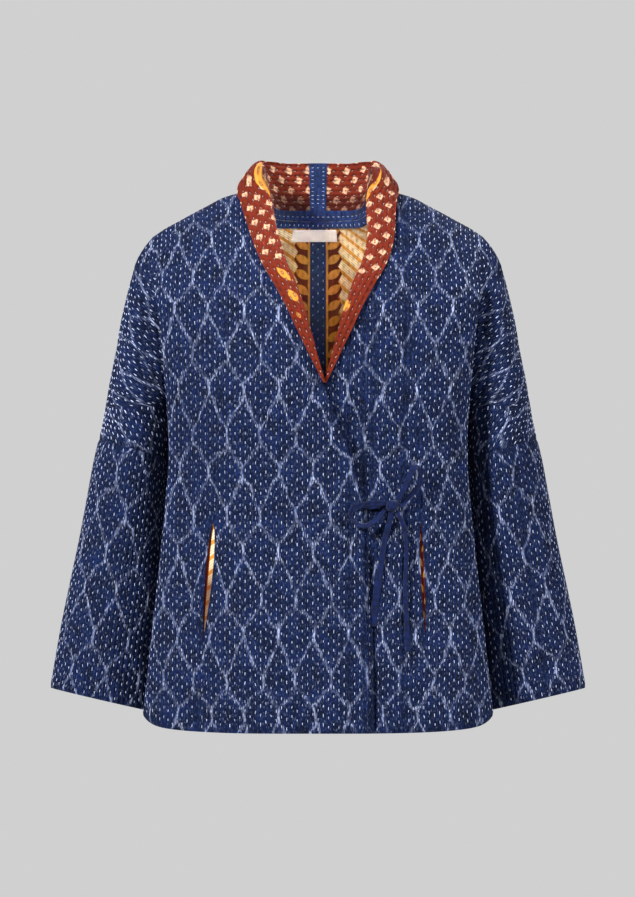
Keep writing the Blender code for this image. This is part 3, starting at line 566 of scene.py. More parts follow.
def join(grids):
    """One list of points and faces for grids that share their edges, without the faces that closed up."""
    points = np.concatenate([g["points"].reshape(-1, 3) for g in grids])
    quads = []
    start = 0
    for g in grids:
        rows, columns = g["points"].shape[:2]
        ids = start + np.arange(rows * columns).reshape(rows, columns)
        quads.append(np.stack([ids[:-1, :-1], ids[1:, :-1], ids[1:, 1:], ids[:-1, 1:]], -1).reshape(-1, 4))
        start += rows * columns
    quads = np.concatenate(quads)
    first, index = same_places(points)
    corner = index[quads]
    distinct = (corner != np.roll(corner, -1, axis=1)).sum(1)
    keep = distinct > 2
    return {"points": points[first], "index": index, "quads": corner[keep], "own": quads[keep]}


def at_points(piece, values, fill=0.0):
    """Values of the grid's points as values of the mesh's points."""
    out = np.full(len(piece["points"]), fill)
    out[piece["index"]] = values
    return out


def ridges(piece):
    """From 0 on a row of quilting to 1 midway between two: sin squared of pi u over the pitch."""
    return at_points(piece, np.sin(np.pi * piece["u"] / PITCH) ** 2)


def cloth_piece(grids, flip):
    """A piece of cloth with its faces turned outwards and its own grain at each grid point."""
    piece = join(grids)
    if flip:
        piece["quads"], piece["own"] = piece["quads"][:, ::-1], piece["own"][:, ::-1]
    for name in grids[0]:
        if name != "points":
            piece[name] = np.concatenate([(g[name] + 0 * g["u"]).reshape(-1) for g in grids])
    corners = piece["points"][piece["quads"]]
    piece["facing"] = np.cross(corners[:, 2] - corners[:, 0], corners[:, 3] - corners[:, 1])
    return piece


def share_normals(cloth):
    """Outward normals, the same for pieces where they are sewn together at the same points."""
    points = np.concatenate([piece["points"] for piece in cloth.values()])
    _, shared = same_places(points)
    total = np.zeros((shared.max() + 1, 3))
    start = 0
    for piece in cloth.values():
        for k in range(4):
            np.add.at(total, shared[start + piece["quads"][:, k]], piece["facing"])
        piece["shared"] = shared[start: start + len(piece["points"])]
        start += len(piece["points"])
    for piece in cloth.values():
        piece["normals"] = unit(total[piece["shared"]])


def edges(piece):
    """The two ends of each face's edges, in the order that the face runs."""
    quads = piece["quads"]
    return np.stack([quads, np.roll(quads, -1, axis=1)], -1).reshape(-1, 2)


def borders(piece):
    """Directed edges that only one face has."""
    ends = edges(piece)
    ends = ends[ends[:, 0] != ends[:, 1]]
    size = len(piece["points"])
    key = ends[:, 0] * size + ends[:, 1]
    back = ends[:, 1] * size + ends[:, 0]
    return ends[~np.isin(key, back)]


def from_border(piece, reach=12.0, steps=8):
    """Distance of each point from the piece's nearest edge, walked along the mesh and up to a reach."""
    ends = edges(piece)
    long = np.linalg.norm(piece["points"][ends[:, 0]] - piece["points"][ends[:, 1]], axis=1)
    away = np.full(len(piece["points"]), reach)
    away[borders(piece).reshape(-1)] = 0
    for _ in range(steps):
        np.minimum.at(away, ends[:, 1], away[ends[:, 0]] + long)
        np.minimum.at(away, ends[:, 0], away[ends[:, 1]] + long)
    return away


def quilt(piece, height):
    """Ridges between the rows of quilting, low at the seams and edges, with a groove at the turned hem."""
    hem = at_points(piece, piece["hem"], 1e3)
    away = piece["away"] = from_border(piece)
    lift = height * (ridges(piece) - 0.5) * ramp(0.5, 5, away) - SEAM_DIP * (1 - ramp(0, SEAM_WIDE, away))
    return lift - 0.5 * np.exp(-(((hem - HEM_FOLD) / 1.6) ** 2))


def write_mesh(name, points, corners, counts, spots=None, slots=None, materials=()):
    """A mesh object from arrays: points in millimetres, the corners of all faces, and how many each has."""
    mesh = bpy.data.meshes.new(name)
    mesh.vertices.add(len(points))
    mesh.vertices.foreach_set("co", (np.asarray(points) / 1000).astype(np.float32).ravel())
    mesh.loops.add(len(corners))
    mesh.loops.foreach_set("vertex_index", np.asarray(corners, np.int32))
    mesh.polygons.add(len(counts))
    mesh.polygons.foreach_set("loop_start", np.concatenate([[0], np.cumsum(counts)[:-1]]).astype(np.int32))
    if spots is not None:
        layer = mesh.uv_layers.new(name="grain")
        layer.data.foreach_set("uv", (np.asarray(spots) / 1000).astype(np.float32).ravel())
    for material in materials:
        mesh.materials.append(material)
    if slots is not None:
        mesh.polygons.foreach_set("material_index", np.asarray(slots, np.int32))
    mesh.update(calc_edges=True)
    mesh.validate()
    mesh.shade_smooth()
    mesh.set_sharp_from_angle(angle=np.radians(62))
    made = bpy.data.objects.new(name, mesh)
    bpy.context.scene.collection.objects.link(made)
    return made


def shell(name, piece, materials, edge_print=None):
    """A closed wall between a piece's two layers of points. Materials are the outer side's, the inner
    side's and, if given, that of the rim along the front edge."""
    outer, inner, quads, own = (piece[key] for key in ("outer", "inner", "quads", "own"))
    size = len(outer)
    grain_of = np.stack([piece["u"], piece["v"]], -1)
    keep = quads != np.roll(quads, -1, axis=1)
    counts = keep.sum(1)
    back, back_own = quads[:, ::-1], own[:, ::-1]
    back_keep = back != np.roll(back, -1, axis=1)
    rim = borders(piece)
    a_point = np.zeros(size, int)
    a_point[piece["index"]] = np.arange(len(piece["index"]))
    rim_faces = np.stack([rim[:, 1], rim[:, 0], rim[:, 0] + size, rim[:, 1] + size], -1)
    rim_spots = grain_of[a_point[rim_faces % size]]
    corners = np.concatenate([quads[keep], back[back_keep] + size, rim_faces.ravel()])
    spots = np.concatenate([grain_of[own[keep]], grain_of[back_own[back_keep]], rim_spots.reshape(-1, 2)])
    all_counts = np.concatenate([counts, back_keep.sum(1), np.full(len(rim), 4)])
    rim_slot = np.zeros(len(rim), int)
    if edge_print is not None:
        on_edge = edge_print[a_point[rim]].all(1)
        rim_slot[on_edge] = 2
    # Where the cloth is pinched thin, its print doesn't show through the kink
    pinched = np.linalg.norm(outer - inner, axis=1)[quads].max(1) < 0.3
    slots = np.concatenate([np.zeros(len(quads), int), np.where(pinched, 0, 1), rim_slot])
    return write_mesh(name, np.concatenate([outer, inner]), corners, all_counts, spots, slots, materials)


def directions(faces):
    """The two directions of each four-cornered face, from the middle of an edge to that of the opposite one."""
    a, b, c, d = (faces[:, k] for k in range(4))
    return (d + c - a - b) / 2, (b + c - a - d) / 2


def crossed(a, b):
    """Signed area between two directions in the plane."""
    return a[:, 0] * b[:, 1] - a[:, 1] * b[:, 0]


# A stitch: six points and two tips across, up and along, as shares of its half width and half length
SPINDLE = np.array([
    (-1, -0.2, -0.5), (0, 0.85, -0.45), (1, -0.2, -0.5), (-1, -0.2, 0.5), (0, 0.85, 0.45), (1, -0.2, 0.5),
    (0, -0.35, -1), (0, -0.35, 1),
])
SPINDLE_FACES = np.array([
    (0, 1, 4), (0, 4, 3), (1, 2, 5), (1, 5, 4), (2, 0, 3), (2, 3, 5),
    (6, 1, 0), (6, 2, 1), (6, 0, 2), (7, 3, 4), (7, 4, 5), (7, 5, 3),
])


def stitch_mesh(name, piece, rng, thread, long, wide, pitch=PITCH, step=STITCH, by_turns=0.5, keep_off=2.5,
                across="u", along="v"):
    """Running stitches where the grain's rows and stitches fall on the cloth, each a small closed spindle.

    A face holds a stitch if the nearest crossing of a quilting row (a multiple of the pitch in u) and a
    stitch (a multiple of the step in v, half a step over in every second row) lies in it. The face's own
    two directions then give the place and the way that the thread runs.
    """
    quads, own = piece["quads"], piece["own"]
    whole = (quads != np.roll(quads, -1, axis=1)).all(1)
    quads, own = quads[whole], own[whole]
    p = piece["outer"][quads]
    grain_of = np.stack([piece[across], piece[along]], -1)[own]
    middle, centre = p.mean(1), grain_of.mean(1)
    row = np.round(centre[:, 0] / pitch)
    offset = (by_turns * (row % 2) + ROW_SHIFT * np.sin(row * ROW_WAVE)) if by_turns else 0 * row
    number = np.round(centre[:, 1] / step - offset)
    aim = np.stack([row * pitch, (number + offset) * step], -1) - centre
    s_way, t_way = directions(grain_of)
    s_edge, t_edge = directions(p)
    size = crossed(s_way, t_way)
    size = np.where(np.abs(size) < 1e-9, 1e-9, size)
    s = crossed(aim, t_way) / size
    t = crossed(s_way, aim) / size
    away = piece["away"][quads].min(1)
    here = (s >= -0.5) & (s < 0.5) & (t >= -0.5) & (t < 0.5) & (away > keep_off)
    s, t, size = s[here, None], t[here, None], size[here, None]
    place_at = middle[here] + s * s_edge[here] + t * t_edge[here]
    run = unit((t_edge[here] * s_way[here, :1] - s_edge[here] * t_way[here, :1]) / size)
    normal = unit(piece["normals"][quads[here]].mean(1))
    run = unit(run - normal * (run * normal).sum(1, keepdims=True))
    side = np.cross(normal, run)
    lean = rng.normal(0, 0.12, (len(run), 1))
    run, side = run + side * lean, side - run * lean
    half_long = long / 2 * rng.uniform(0.72, 1.2, (len(run), 1, 1))
    half_wide = wide / 2 * rng.uniform(0.8, 1.15, (len(run), 1, 1))
    points = place_at[:, None]
    for direction, part, reach in zip((side, normal, run), SPINDLE.T, (half_wide, half_wide, half_long)):
        points = points + direction[:, None] * part[None, :, None] * reach
    corners = (SPINDLE_FACES[None] + 8 * np.arange(len(points))[:, None, None]).reshape(-1)
    return write_mesh(name, points.reshape(-1, 3), corners, np.full(len(points) * 12, 3), materials=[thread])


def neck_frame(side):
    """Points of the neck seam from the centre back to the overlap, with the directions up and out.

    Behind the shoulder up is upright; before it, up is off the cloth and out is away from the neck.
    """
    behind = body(side, "back", np.arange(BACK_COLUMNS["mid"]), 0)
    rows = np.array(EDGE_ROWS, float)
    ahead = body(side, "front", np.arange(2)[None, :], rows[:, None])
    facing = np.cross(ahead[1:, 1] - ahead[:-1, 0], ahead[:-1, 1] - ahead[1:, 0])
    facing = unit(facing[1:] + facing[:-1]) * way(side)
    points = np.concatenate([behind, ahead[:-1, 0]])
    up = np.concatenate([np.tile([0.0, 0.0, 1.0], (len(behind) + 1, 1)), facing])
    along = unit(np.gradient(points, axis=0))
    out = unit(np.cross(along, up)) * -way(side)
    out[0] = (0, 1, 0)
    return points, up, out


def collar_points(side, along, t):
    """The collar at shares of its length and of its section: a bent line from the seam up, over and out."""
    points, up, out = neck_frame(side)
    run = run_of(points)
    at = along * np.interp(COLLAR_DROP, -points[:, 2], run)
    base, up, out = (
        np.stack([smooth(run, part[:, k], at) for k in range(3)], -1) for part in (points, up, out)
    )
    up, out = unit(up), unit(out)
    up[at < 1e-9], out[at < 1e-9] = (0, 0, 1), (0, 1, 0)
    far = along * COLLAR["run"][-1]
    get = {name: smooth(COLLAR["run"], COLLAR[name], far)[:, None] for name in COLLAR if name != "run"}
    first, second, third = (base + up * get[f"up_{k}"] + out * get[f"out_{k}"] for k in (1, 2, 3))
    seam = base - out * (WALL + GAP) + up * 2 * GAP
    t = t[None, :, None]
    return bezier(seam[:, None], first[:, None], second[:, None], third[:, None], t), at


def collar_piece(side):
    """The collar as a piece of cloth. u is the distance in from its free edge, v that along its seam from
    the middle, less than nothing on the right half, and wide the collar's whole width there."""
    points, at = collar_points(side, np.linspace(0, 1, COLLAR_LINES), np.linspace(0, 1, COLLAR_ROWS))
    from_edge = run_of(points[:, ::-1])[:, ::-1]
    v = way(side) * at[:, None] + 0 * from_edge
    piece = cloth_piece([{"points": points, "u": from_edge - PITCH / 2, "v": v}], side == "right")
    piece["wide"] = (from_edge[:, :1] + 0 * from_edge).reshape(-1)
    return piece


@functools.cache
def quilted_cloth(puff):
    """All quilted pieces but the collar, with shared normals, and the outer points of each."""
    rows, fine = mesh_rows()
    cloth = {}
    for side in ("right", "left"):
        for face, stations in (("front", FRONT_COLUMNS), ("back", BACK_COLUMNS)):
            if face == "front":
                grids = [
                    body_grid(side, face, rows, 0, stations["mid"], -1),
                    body_grid(side, face, rows, stations["mid"], stations["crease"], 1),
                ]
            else:
                grids = [body_grid(side, face, rows, 0, stations["crease"])]
            grids.append(arm_grid(side, face, rows[:fine]))
            cloth[f"{face}_{side}"] = cloth_piece(grids, (side == "right") == (face == "front"))
        cloth[f"sleeve_{side}"] = cloth_piece([sleeve_grid(side)], side == "right")
    share_normals(cloth)
    for name, piece in cloth.items():
        across, height = np.abs(piece["points"][:, 0]), piece["points"][:, 2]
        if not name.startswith("sleeve"):
            # The shoulder seam's wall stands upright, so that front and back meet in one plane
            on_seam = (height > -60) & (across > NECK - 0.01)
            on_seam &= np.abs(piece["points"][:, 1] - seam_depth(0)) < 1e-4
            piece["normals"][on_seam, 1] = 0
            piece["normals"] = unit(piece["normals"])
        # The notch where the shoulder turns into the arm is too tight for a wall of more than 0.04 mm
        notch = np.hypot((height - KINK[1]) / KINK[3], (across - KINK[0]) / KINK[2])
        beyond = ramp(0.9, 2.4, notch)
        piece["inner"] = piece["points"] - piece["normals"] * (WALL * (0.02 + 0.98 * beyond))[:, None]
        piece["outer"] = piece["points"] + piece["normals"] * (quilt(piece, puff) * beyond)[:, None]
    return cloth


@functools.cache
def quilted_collar():
    """Both halves of the collar, with ridges as on the solids."""
    halves = {f"collar_{side}": collar_piece(side) for side in ("right", "left")}
    share_normals(halves)
    for piece in halves.values():
        fade = share(8, 20, at_points(piece, piece["wide"]))
        piece["away"] = from_border(piece)
        piece["inner"] = piece["points"] - piece["normals"] * WALL
        piece["outer"] = piece["points"] + piece["normals"] * (RIDGE * ridges(piece) * fade)[:, None]
    return halves


def spread(low, high, count):
    """Numbers from low to high, closer together towards both ends."""
    return low + (high - low) * (1 + np.sin(np.linspace(-np.pi / 2, np.pi / 2, count))) / 2


def laid_tape(name, points, facing, off, thick, material):
    """A thin tape on a grid of points, its edges pressed down. u runs across the grid and v down it, both
    from its middle.

    Its outer side stands off by the whole thickness, but at its edge by a third, over one millimetre.
    """
    u = run_of(points)
    u = u - u[:, -1:] / 2
    v = run_of(points[:, points.shape[1] // 2])[:, None]
    v = v - v[-1] / 2 + 0 * u
    grid = {"points": points, "u": u, "v": v}
    piece = cloth_piece([grid], False)
    normals = np.zeros_like(piece["points"])
    normals[piece["index"]] = facing.reshape(-1, 3)
    if (piece["facing"] * normals[piece["quads"][:, 0]]).sum() < 0:
        piece = cloth_piece([grid], True)
    away = from_border(piece, steps=3)
    height = off + thick * (0.34 + 0.66 * ramp(0, 1.1, away))
    piece["away"], piece["normals"] = away, normals
    piece["outer"] = piece["points"] + normals * height[:, None]
    piece["inner"] = piece["points"] + normals * off
    return shell(name, piece, (material, material)), piece


def back_inside(rows, across):
    """Points inside the back at these rows and distances from its middle seam, and the way they face."""
    halves = []
    for side in ("right", "left"):
        columns, run = across_lines(side, "back", rows)
        column = rows_at(np.broadcast_to(np.abs(across), (len(run), len(across))), run, columns)
        row = rows[:, None] + 0 * column
        here = body(side, "back", column, row)
        down = body(side, "back", column, row + 0.8) - here
        over = body(side, "back", column + 0.02, row) - here
        out = unit(np.cross(over, down)) * way(side)
        halves.append((here - out * WALL, -out))
    right = (across < 0)[None, :, None]
    return np.where(right, halves[0][0], halves[1][0]), unit(np.where(right, halves[0][1], halves[1][1]))


def pocket_grid(side):
    """The strip behind a pocket slit, from a little before it to a little past it."""
    top, bottom, _ = SLITS[side]
    rows = np.linspace(top - 12, bottom + 12, 80)[:, None]
    mid = FRONT_COLUMNS["mid"]
    ends = []
    for column, sign in ((mid - 0.55, -1), (mid + 0.55, 1)):
        here = body(side, "front", column, rows)
        here[..., 0] += way(side) * sign * 0.45 * slit_half(side, rows)
        down = body(side, "front", column, rows + 1) - here
        over = body(side, "front", column + 0.05, rows) - body(side, "front", column, rows)
        out = unit(np.cross(down, over)) * way(side)
        ends.append((here, out))
    t = np.linspace(0, 1, 9)[None, :, None]
    points = ends[0][0] * (1 - t) + ends[1][0] * t
    facing = unit(ends[0][1] * (1 - t) + ends[1][1] * t)
    return points, facing


def left_front_depth(x, drop):
    """Depth of the left front's outer side."""
    line = body("left", "front", np.linspace(0, FRONT_COLUMNS["fold"], 80), drop)
    return float(np.interp(x, line[:, 0], line[:, 1]))


def tie_points(route, steps, sides, rng):
    """A folded tie along its route: flat rings, each a rounded oblong, with soft wrinkles across them.

    A ring's reach is |cos| to the power 0.7 times half the width, its height the sine times half the
    thickness; the width and the turn waver a little along the tie.
    """
    knots = np.linspace(0, 1, len(route["x"]))
    t = np.linspace(0, 1, steps)
    get = {key: smooth(knots, route[key], t) for key in route}
    depth = np.array([left_front_depth(x, -z) for x, z in zip(get["x"], get["height"])])
    middle = np.stack([get["x"], depth - get["off"], get["height"]], -1)
    along = unit(np.gradient(middle, axis=0))
    flat = unit(np.cross(along, np.array([0.0, -1.0, 0.0])))
    face = np.cross(flat, along)
    run = run_of(middle)
    phase = rng.uniform(0, 6.28, 3)
    waver = 0.35 * np.sin(run / 5.3 + phase[0]) + 0.3 * np.sin(run / 3.1 + phase[1])
    turn = np.radians(get["turn"] + 5 * np.sin(run / 9 + phase[2]))[:, None]
    wide = flat * np.cos(turn) + face * np.sin(turn)
    face = np.cross(along, wide)
    angle = np.linspace(0, 2 * np.pi, sides, endpoint=False)[None, :, None] + np.pi / sides
    reach = np.sign(np.cos(angle)) * np.abs(np.cos(angle)) ** 0.7 * (get["wide"] + waver)[:, None, None] / 2
    pucker = 0.3 * np.sin(run[:, None, None] / 1.9 + 3 * np.cos(angle) + phase[0])
    height = np.sin(angle) * (TIE_THICK / 2 + pucker) - 0.6 * np.exp(-((reach / 1.4) ** 2)) * np.sin(angle)
    ring = middle[:, None] + wide[:, None] * reach + face[:, None] * height
    around = angle[..., 0] / (2 * np.pi) * 18 + 0 * run[:, None]
    return ring, around, run[:, None] + 0 * around


def closed_rings(name, ring, around, run, material):
    """A tube of rings with its two ends closed by a fan."""
    steps, sides = ring.shape[:2]
    ids = np.arange(steps * sides).reshape(steps, sides)
    after = np.roll(ids, -1, axis=1)
    quads = np.stack([after[:-1], after[1:], ids[1:], ids[:-1]], -1).reshape(-1, 4)
    first, last = steps * sides, steps * sides + 1
    fans = np.concatenate([
        np.stack([0 * ids[0] + first, after[0], ids[0]], -1),
        np.stack([0 * ids[-1] + last, ids[-1], after[-1]], -1),
    ])
    ends = ring[[0, -1]].mean(1)
    points = np.concatenate([ring.reshape(-1, 3), ends])
    spot = np.stack([around, run], -1).reshape(-1, 2)
    spot = np.concatenate([spot, [[9, run[0, 0]], [9, run[-1, 0]]]])
    corners = np.concatenate([quads.ravel(), fans.ravel()])
    counts = np.concatenate([np.full(len(quads), 4), np.full(len(fans), 3)])
    return write_mesh(name, points, corners, counts, spot[corners], materials=[material])


def knot_rings(rng):
    """The bow's knot: a round pad, drawn in by two wraps that slant across it."""
    x, height, off = KNOT
    middle = np.array([x, left_front_depth(x, -height) - off, height])
    up = np.linspace(-np.pi / 2, np.pi / 2, 26)[1:-1, None]
    turn = np.linspace(0, 2 * np.pi, 40, endpoint=False)[None, :]
    shape = [np.cos(up) * np.cos(turn), np.cos(up) * np.sin(turn), np.sin(up) + 0 * turn]
    shape = np.stack([np.sign(v) * np.abs(v) ** 0.8 for v in shape], -1)
    slant = shape[..., 0] * 0.55 + shape[..., 2]
    groove = np.exp(-(((slant - 0.18) / 0.16) ** 2)) + 0.8 * np.exp(-(((slant + 0.5) / 0.14) ** 2))
    crinkle = 0.02 * np.sin(9 * shape[..., 0] + 5 * shape[..., 2] + rng.uniform(0, 6))
    ring = shape * (1 - 0.13 * groove + crinkle)[..., None] * np.array(KNOT_HALF) + middle
    around = turn / (2 * np.pi) * 36 + 0 * up
    return ring[::-1], around, (up[::-1] * 7) + 0 * around


def linear(colour):
    """An sRGB hex colour as linear red, green, blue and alpha."""
    parts = [int(colour[i: i + 2], 16) / 255 for i in (1, 3, 5)]
    return (*[((c + 0.055) / 1.055) ** 2.4 if c > 0.04045 else c / 12.92 for c in parts], 1.0)


def blend(low, high, part):
    """The colour this far from one to the other."""
    return Color(low) * (1 - part) + Color(high) * part


def add_node(tree, kind, *inputs, output=0, **settings):
    """Adds a shader node and returns one of its outputs. The kind may be followed by the node's operation.
    Inputs are values, colours or sockets, in order; a setting with a capital is an input by its name, any
    other is a property of the node."""
    kind, *operation = kind.split()
    node = tree.nodes.new("ShaderNode" + kind)
    if operation:
        node.operation = operation[0]
    sockets = list(zip(node.inputs, inputs))
    for key, value in settings.items():
        if key[0].isupper():
            sockets.append((node.inputs[key.replace("_", " ")], value))
        else:
            setattr(node, key, value)
    for socket, value in sockets:
        if isinstance(value, bpy.types.NodeSocket):
            tree.links.new(value, socket)
        elif value is not None:
            socket.default_value = (*value, 1) if isinstance(value, Color) else value
    return node.outputs[output] if len(node.outputs) else node


def new_material(name):
    made = bpy.data.materials.new(name)
    made.use_nodes = True
    made.node_tree.nodes.clear()
    return made, functools.partial(add_node, made.node_tree)


def in_millimetres(node):
    """The cloth's own coordinates: across the quilting rows, and along them."""
    grain_map = node("UVMap", uv_map="grain")
    return node("VectorMath SCALE", grain_map, Scale=1000.0)


def finish(node, colour, height, roughness, sheen):
    """Matt cloth: the surface shader with a relief in millimetres and a little sheen from its fibres."""
    relief = node("Bump", Strength=1.0, Distance=0.001, Height=height)
    shader = node(
        "BsdfPrincipled", colour, Roughness=roughness, Normal=relief, Sheen_Weight=sheen,
        Sheen_Roughness=0.45, Specular_IOR_Level=0.08,
    )
    node("OutputMaterial", shader)


def stretched_noise(node, place, across, along, detail=1.0):
    """Noise whose grains have these lengths in millimetres across and along the cloth."""
    scaled = node("VectorMath MULTIPLY", place, (1 / across, 1 / along, 1.0))
    return node("TexNoise", scaled, Scale=1.0, Detail=detail, Roughness=0.55)


def shifted(node, place, scale, across, along):
    """The position, moved unevenly by up to half of these lengths."""
    noise = node("TexNoise", place, Scale=scale, Detail=2.0, output=1)
    noise = node("VectorMath SUBTRACT", noise, (0.5, 0.5, 0.5))
    return node("VectorMath MULTIPLY_ADD", noise, (across, along, 0.0), place)


def uneven_dye(node, place, thread, clouds, part, limits, deep, light):
    """A colour between two: this part of it from streaks along the threads, the rest from clouds."""
    streak = stretched_noise(node, place, *thread, 2.0)
    tone = node("Math MULTIPLY_ADD", streak, part, node("Math MULTIPLY", clouds, 1 - part))
    return node("MixRGB", node("MapRange", tone, *limits, 0.0, 1.0), deep, light)


def dimples(node, place):
    """One at a running stitch and none between, by the rows and steps that the stitches are set by."""
    u = node("SeparateXYZ", place)
    v = u.node.outputs[1]
    row = node("Math ROUND", node("Math DIVIDE", u, PITCH))
    half = node("Math FLOORED_MODULO", row, 2.0)
    wave = node("Math SINE", node("Math MULTIPLY", row, ROW_WAVE))
    offset = node("Math MULTIPLY_ADD", wave, ROW_SHIFT, node("Math MULTIPLY", half, 0.5))
    step = node("Math SUBTRACT", node("Math DIVIDE", v, STITCH), offset)
    along = node("Math PINGPONG", step, 0.5)
    across = node("Math PINGPONG", u, PITCH / 2)
    near_row = node("MapRange", across, 0.2, 2.5, 1.0, 0.0, interpolation_type="SMOOTHSTEP")
    near_stitch = node("MapRange", along, 0.16, 0.40, 1.0, 0.15, interpolation_type="SMOOTHSTEP")
    return node("Math MULTIPLY", near_row, near_stitch)


def cloth_relief(node, place, press, deep):
    """Height in millimetres: deeper at the stitches, with puckers beside them and the weave on top.

    The real weave, 0.3 mm, is too fine to show, so its grain is drawn at 1.3 mm.
    """
    pucker = stretched_noise(node, place, 3.4, 5.0, 2.0)
    weave = stretched_noise(node, place, 1.3, 1.3, 2.0)
    low = node("Math MULTIPLY", press, -deep)
    low = node("Math MULTIPLY_ADD", pucker, 1.1, low)
    return node("Math MULTIPLY_ADD", weave, 0.22, low)


def quilted_finish(node, place, colour, low, part, deep, roughness, sheen):
    """Quilted cloth: dimpled, with painted shade at its stitches, part of the way to a low colour."""
    press = dimples(node, place)
    # Painted shade: the colour darkens in the dimples at the stitches, where shade falls
    shade = node("Math MULTIPLY", press, part)
    colour = node("MixRGB", shade, colour, low)
    finish(node, colour, cloth_relief(node, place, press, deep), roughness, sheen)


def resist_dyed_cotton(colours):
    """Indigo cotton, dyed round a tied trellis: blotchy threads of undyed white on an uneven deep blue.

    The trellis is folded into a quarter of its repeat, half its width W by half its height H. There a line
    runs up a stem, slants across to the next one and runs on up that one: u = W/2 (t + 0.04 sin 2 pi t),
    with t the share of the slant. Each thread is shifted along by a little, and v - H/10 sin squared
    (pi v / H) in the place of v sets every second stem a tenth lower. The upper stems are the brighter ones.
    """
    half_wide, half_tall = TRELLIS[0] / 2, TRELLIS[1] / 2
    made, node = new_material("resist-dyed indigo cotton")
    place = in_millimetres(node)
    thread = stretched_noise(node, place, 0.8, 16.0)
    moved = node("VectorMath ADD", shifted(node, place, 0.022, 15.0, 22.0), (5.0, 9.0, 0.0))
    u = node("SeparateXYZ", moved)
    v = node("Math MULTIPLY_ADD", thread, 24.0, u.node.outputs[1])
    swing = node("Math SINE", node("Math MULTIPLY", v, np.pi / TRELLIS[1]))
    swing = node("Math MULTIPLY", swing, swing)
    v = node("Math MULTIPLY_ADD", swing, -TRELLIS[1] / 10, v)
    a = node("Math PINGPONG", u, half_wide)
    b = node("Math PINGPONG", v, half_tall)
    t = node("MapRange", b, STEM, STEM + SLANT, 0.0, 1.0)
    wave = node("Math SINE", node("Math MULTIPLY", t, 2 * np.pi))
    path = node("Math MULTIPLY_ADD", wave, 0.04, t)
    path = node("Math MULTIPLY", path, half_wide)
    apart = node("Math ABSOLUTE", node("Math SUBTRACT", a, path))
    stem = node("Math PINGPONG", t, 0.5)
    wide = node("MapRange", stem, 0.0, 0.16, 0.7, 0.35)
    beyond = node("Math SUBTRACT", apart, wide)
    line = node("MapRange", beyond, -0.5, 1.5, 1.0, 0.0, interpolation_type="SMOOTHSTEP")
    blotch = node("MapRange", node("TexNoise", place, Scale=0.075, Detail=3.0), 0.36, 0.62, 0.2, 1.0)
    single = node("MapRange", stretched_noise(node, place, 0.9, 6.0), 0.38, 0.6, 0.15, 1.0)
    for part in (blotch, single, node("MapRange", t, 0.3, 1.0, 1.0, 0.72)):
        line = node("Math MULTIPLY", line, part)
    fleck = node("MapRange", stretched_noise(node, place, 1.0, 5.0, 3.0), 0.58, 0.78, 0.0, 0.4)
    line = node("Math MAXIMUM", line, fleck)
    cloud = node("TexNoise", place, Scale=0.045, Detail=4.0)
    ground = uneven_dye(
        node, place, (1.4, 22.0), cloud, 0.55, (0.4, 0.66), colours.indigo_deep, colours.indigo
    )
    colour = node("MixRGB", line, ground, colours.resist)
    rough = node("MapRange", cloud, 0.3, 0.7, 0.92, 0.82)
    quilted_finish(node, place, colour, colours.indigo_deep, 0.6, 1.0, rough, 0.02)
    return made


def plain_cotton(name, deep, light, quilted=True, wrinkles=0.35):
    """Plain woven cotton: even colour, slightly uneven threads; unquilted, painted shade in its wrinkles and
    painted highlight on their ridges.
    """
    made, node = new_material(name)
    place = in_millimetres(node)
    cloud = node("TexNoise", place, Scale=0.16, Detail=3.0)
    if quilted:
        colour = uneven_dye(node, place, (1.2, 12.0), cloud, 0.5, (0.36, 0.64), deep, light)
        height = cloth_relief(node, place, dimples(node, place), 0.4)
    else:
        crease = stretched_noise(node, place, 2.2, 7.0, 2.0)
        # Painted shade and painted highlight: the colour follows the wrinkles' height, dark in their hollows,
        # light on their ridges
        colour = node("MixRGB", node("MapRange", crease, 0.36, 0.66, 0.0, 1.0), deep, light)
        weave = stretched_noise(node, place, 1.2, 1.2, 1.0)
        height = node("Math MULTIPLY", crease, 2 * wrinkles)
        height = node("Math MULTIPLY_ADD", weave, 0.12, height)
    finish(node, colour, height, node("MapRange", cloud, 0.3, 0.7, 0.9, 0.78), 0.15)
    return made


def with_leaves(node, place, colour, ochre, leaves):
    """Pointed leaves over a colour, each given by its middle, its half width and half length, and its turn.

    A leaf is where |x| / half width + (y / half length) squared is less than one.
    """
    for at, half, turn in leaves:
        moved = node("VectorMath SUBTRACT", place, (*at, 0.0))
        moved = node("VectorRotate", moved, Angle=np.radians(turn), rotation_type="Z_AXIS")
        moved = node("VectorMath DIVIDE", moved, (*half, 1.0))
        x = node("SeparateXYZ", moved)
        beyond = node("Math MULTIPLY", x.node.outputs[1], x.node.outputs[1])
        beyond = node("Math ADD", node("Math ABSOLUTE", x), beyond)
        colour = node("MixRGB", node("MapRange", beyond, 0.85, 1.05, 1.0, 0.0), colour, ochre)
    return colour


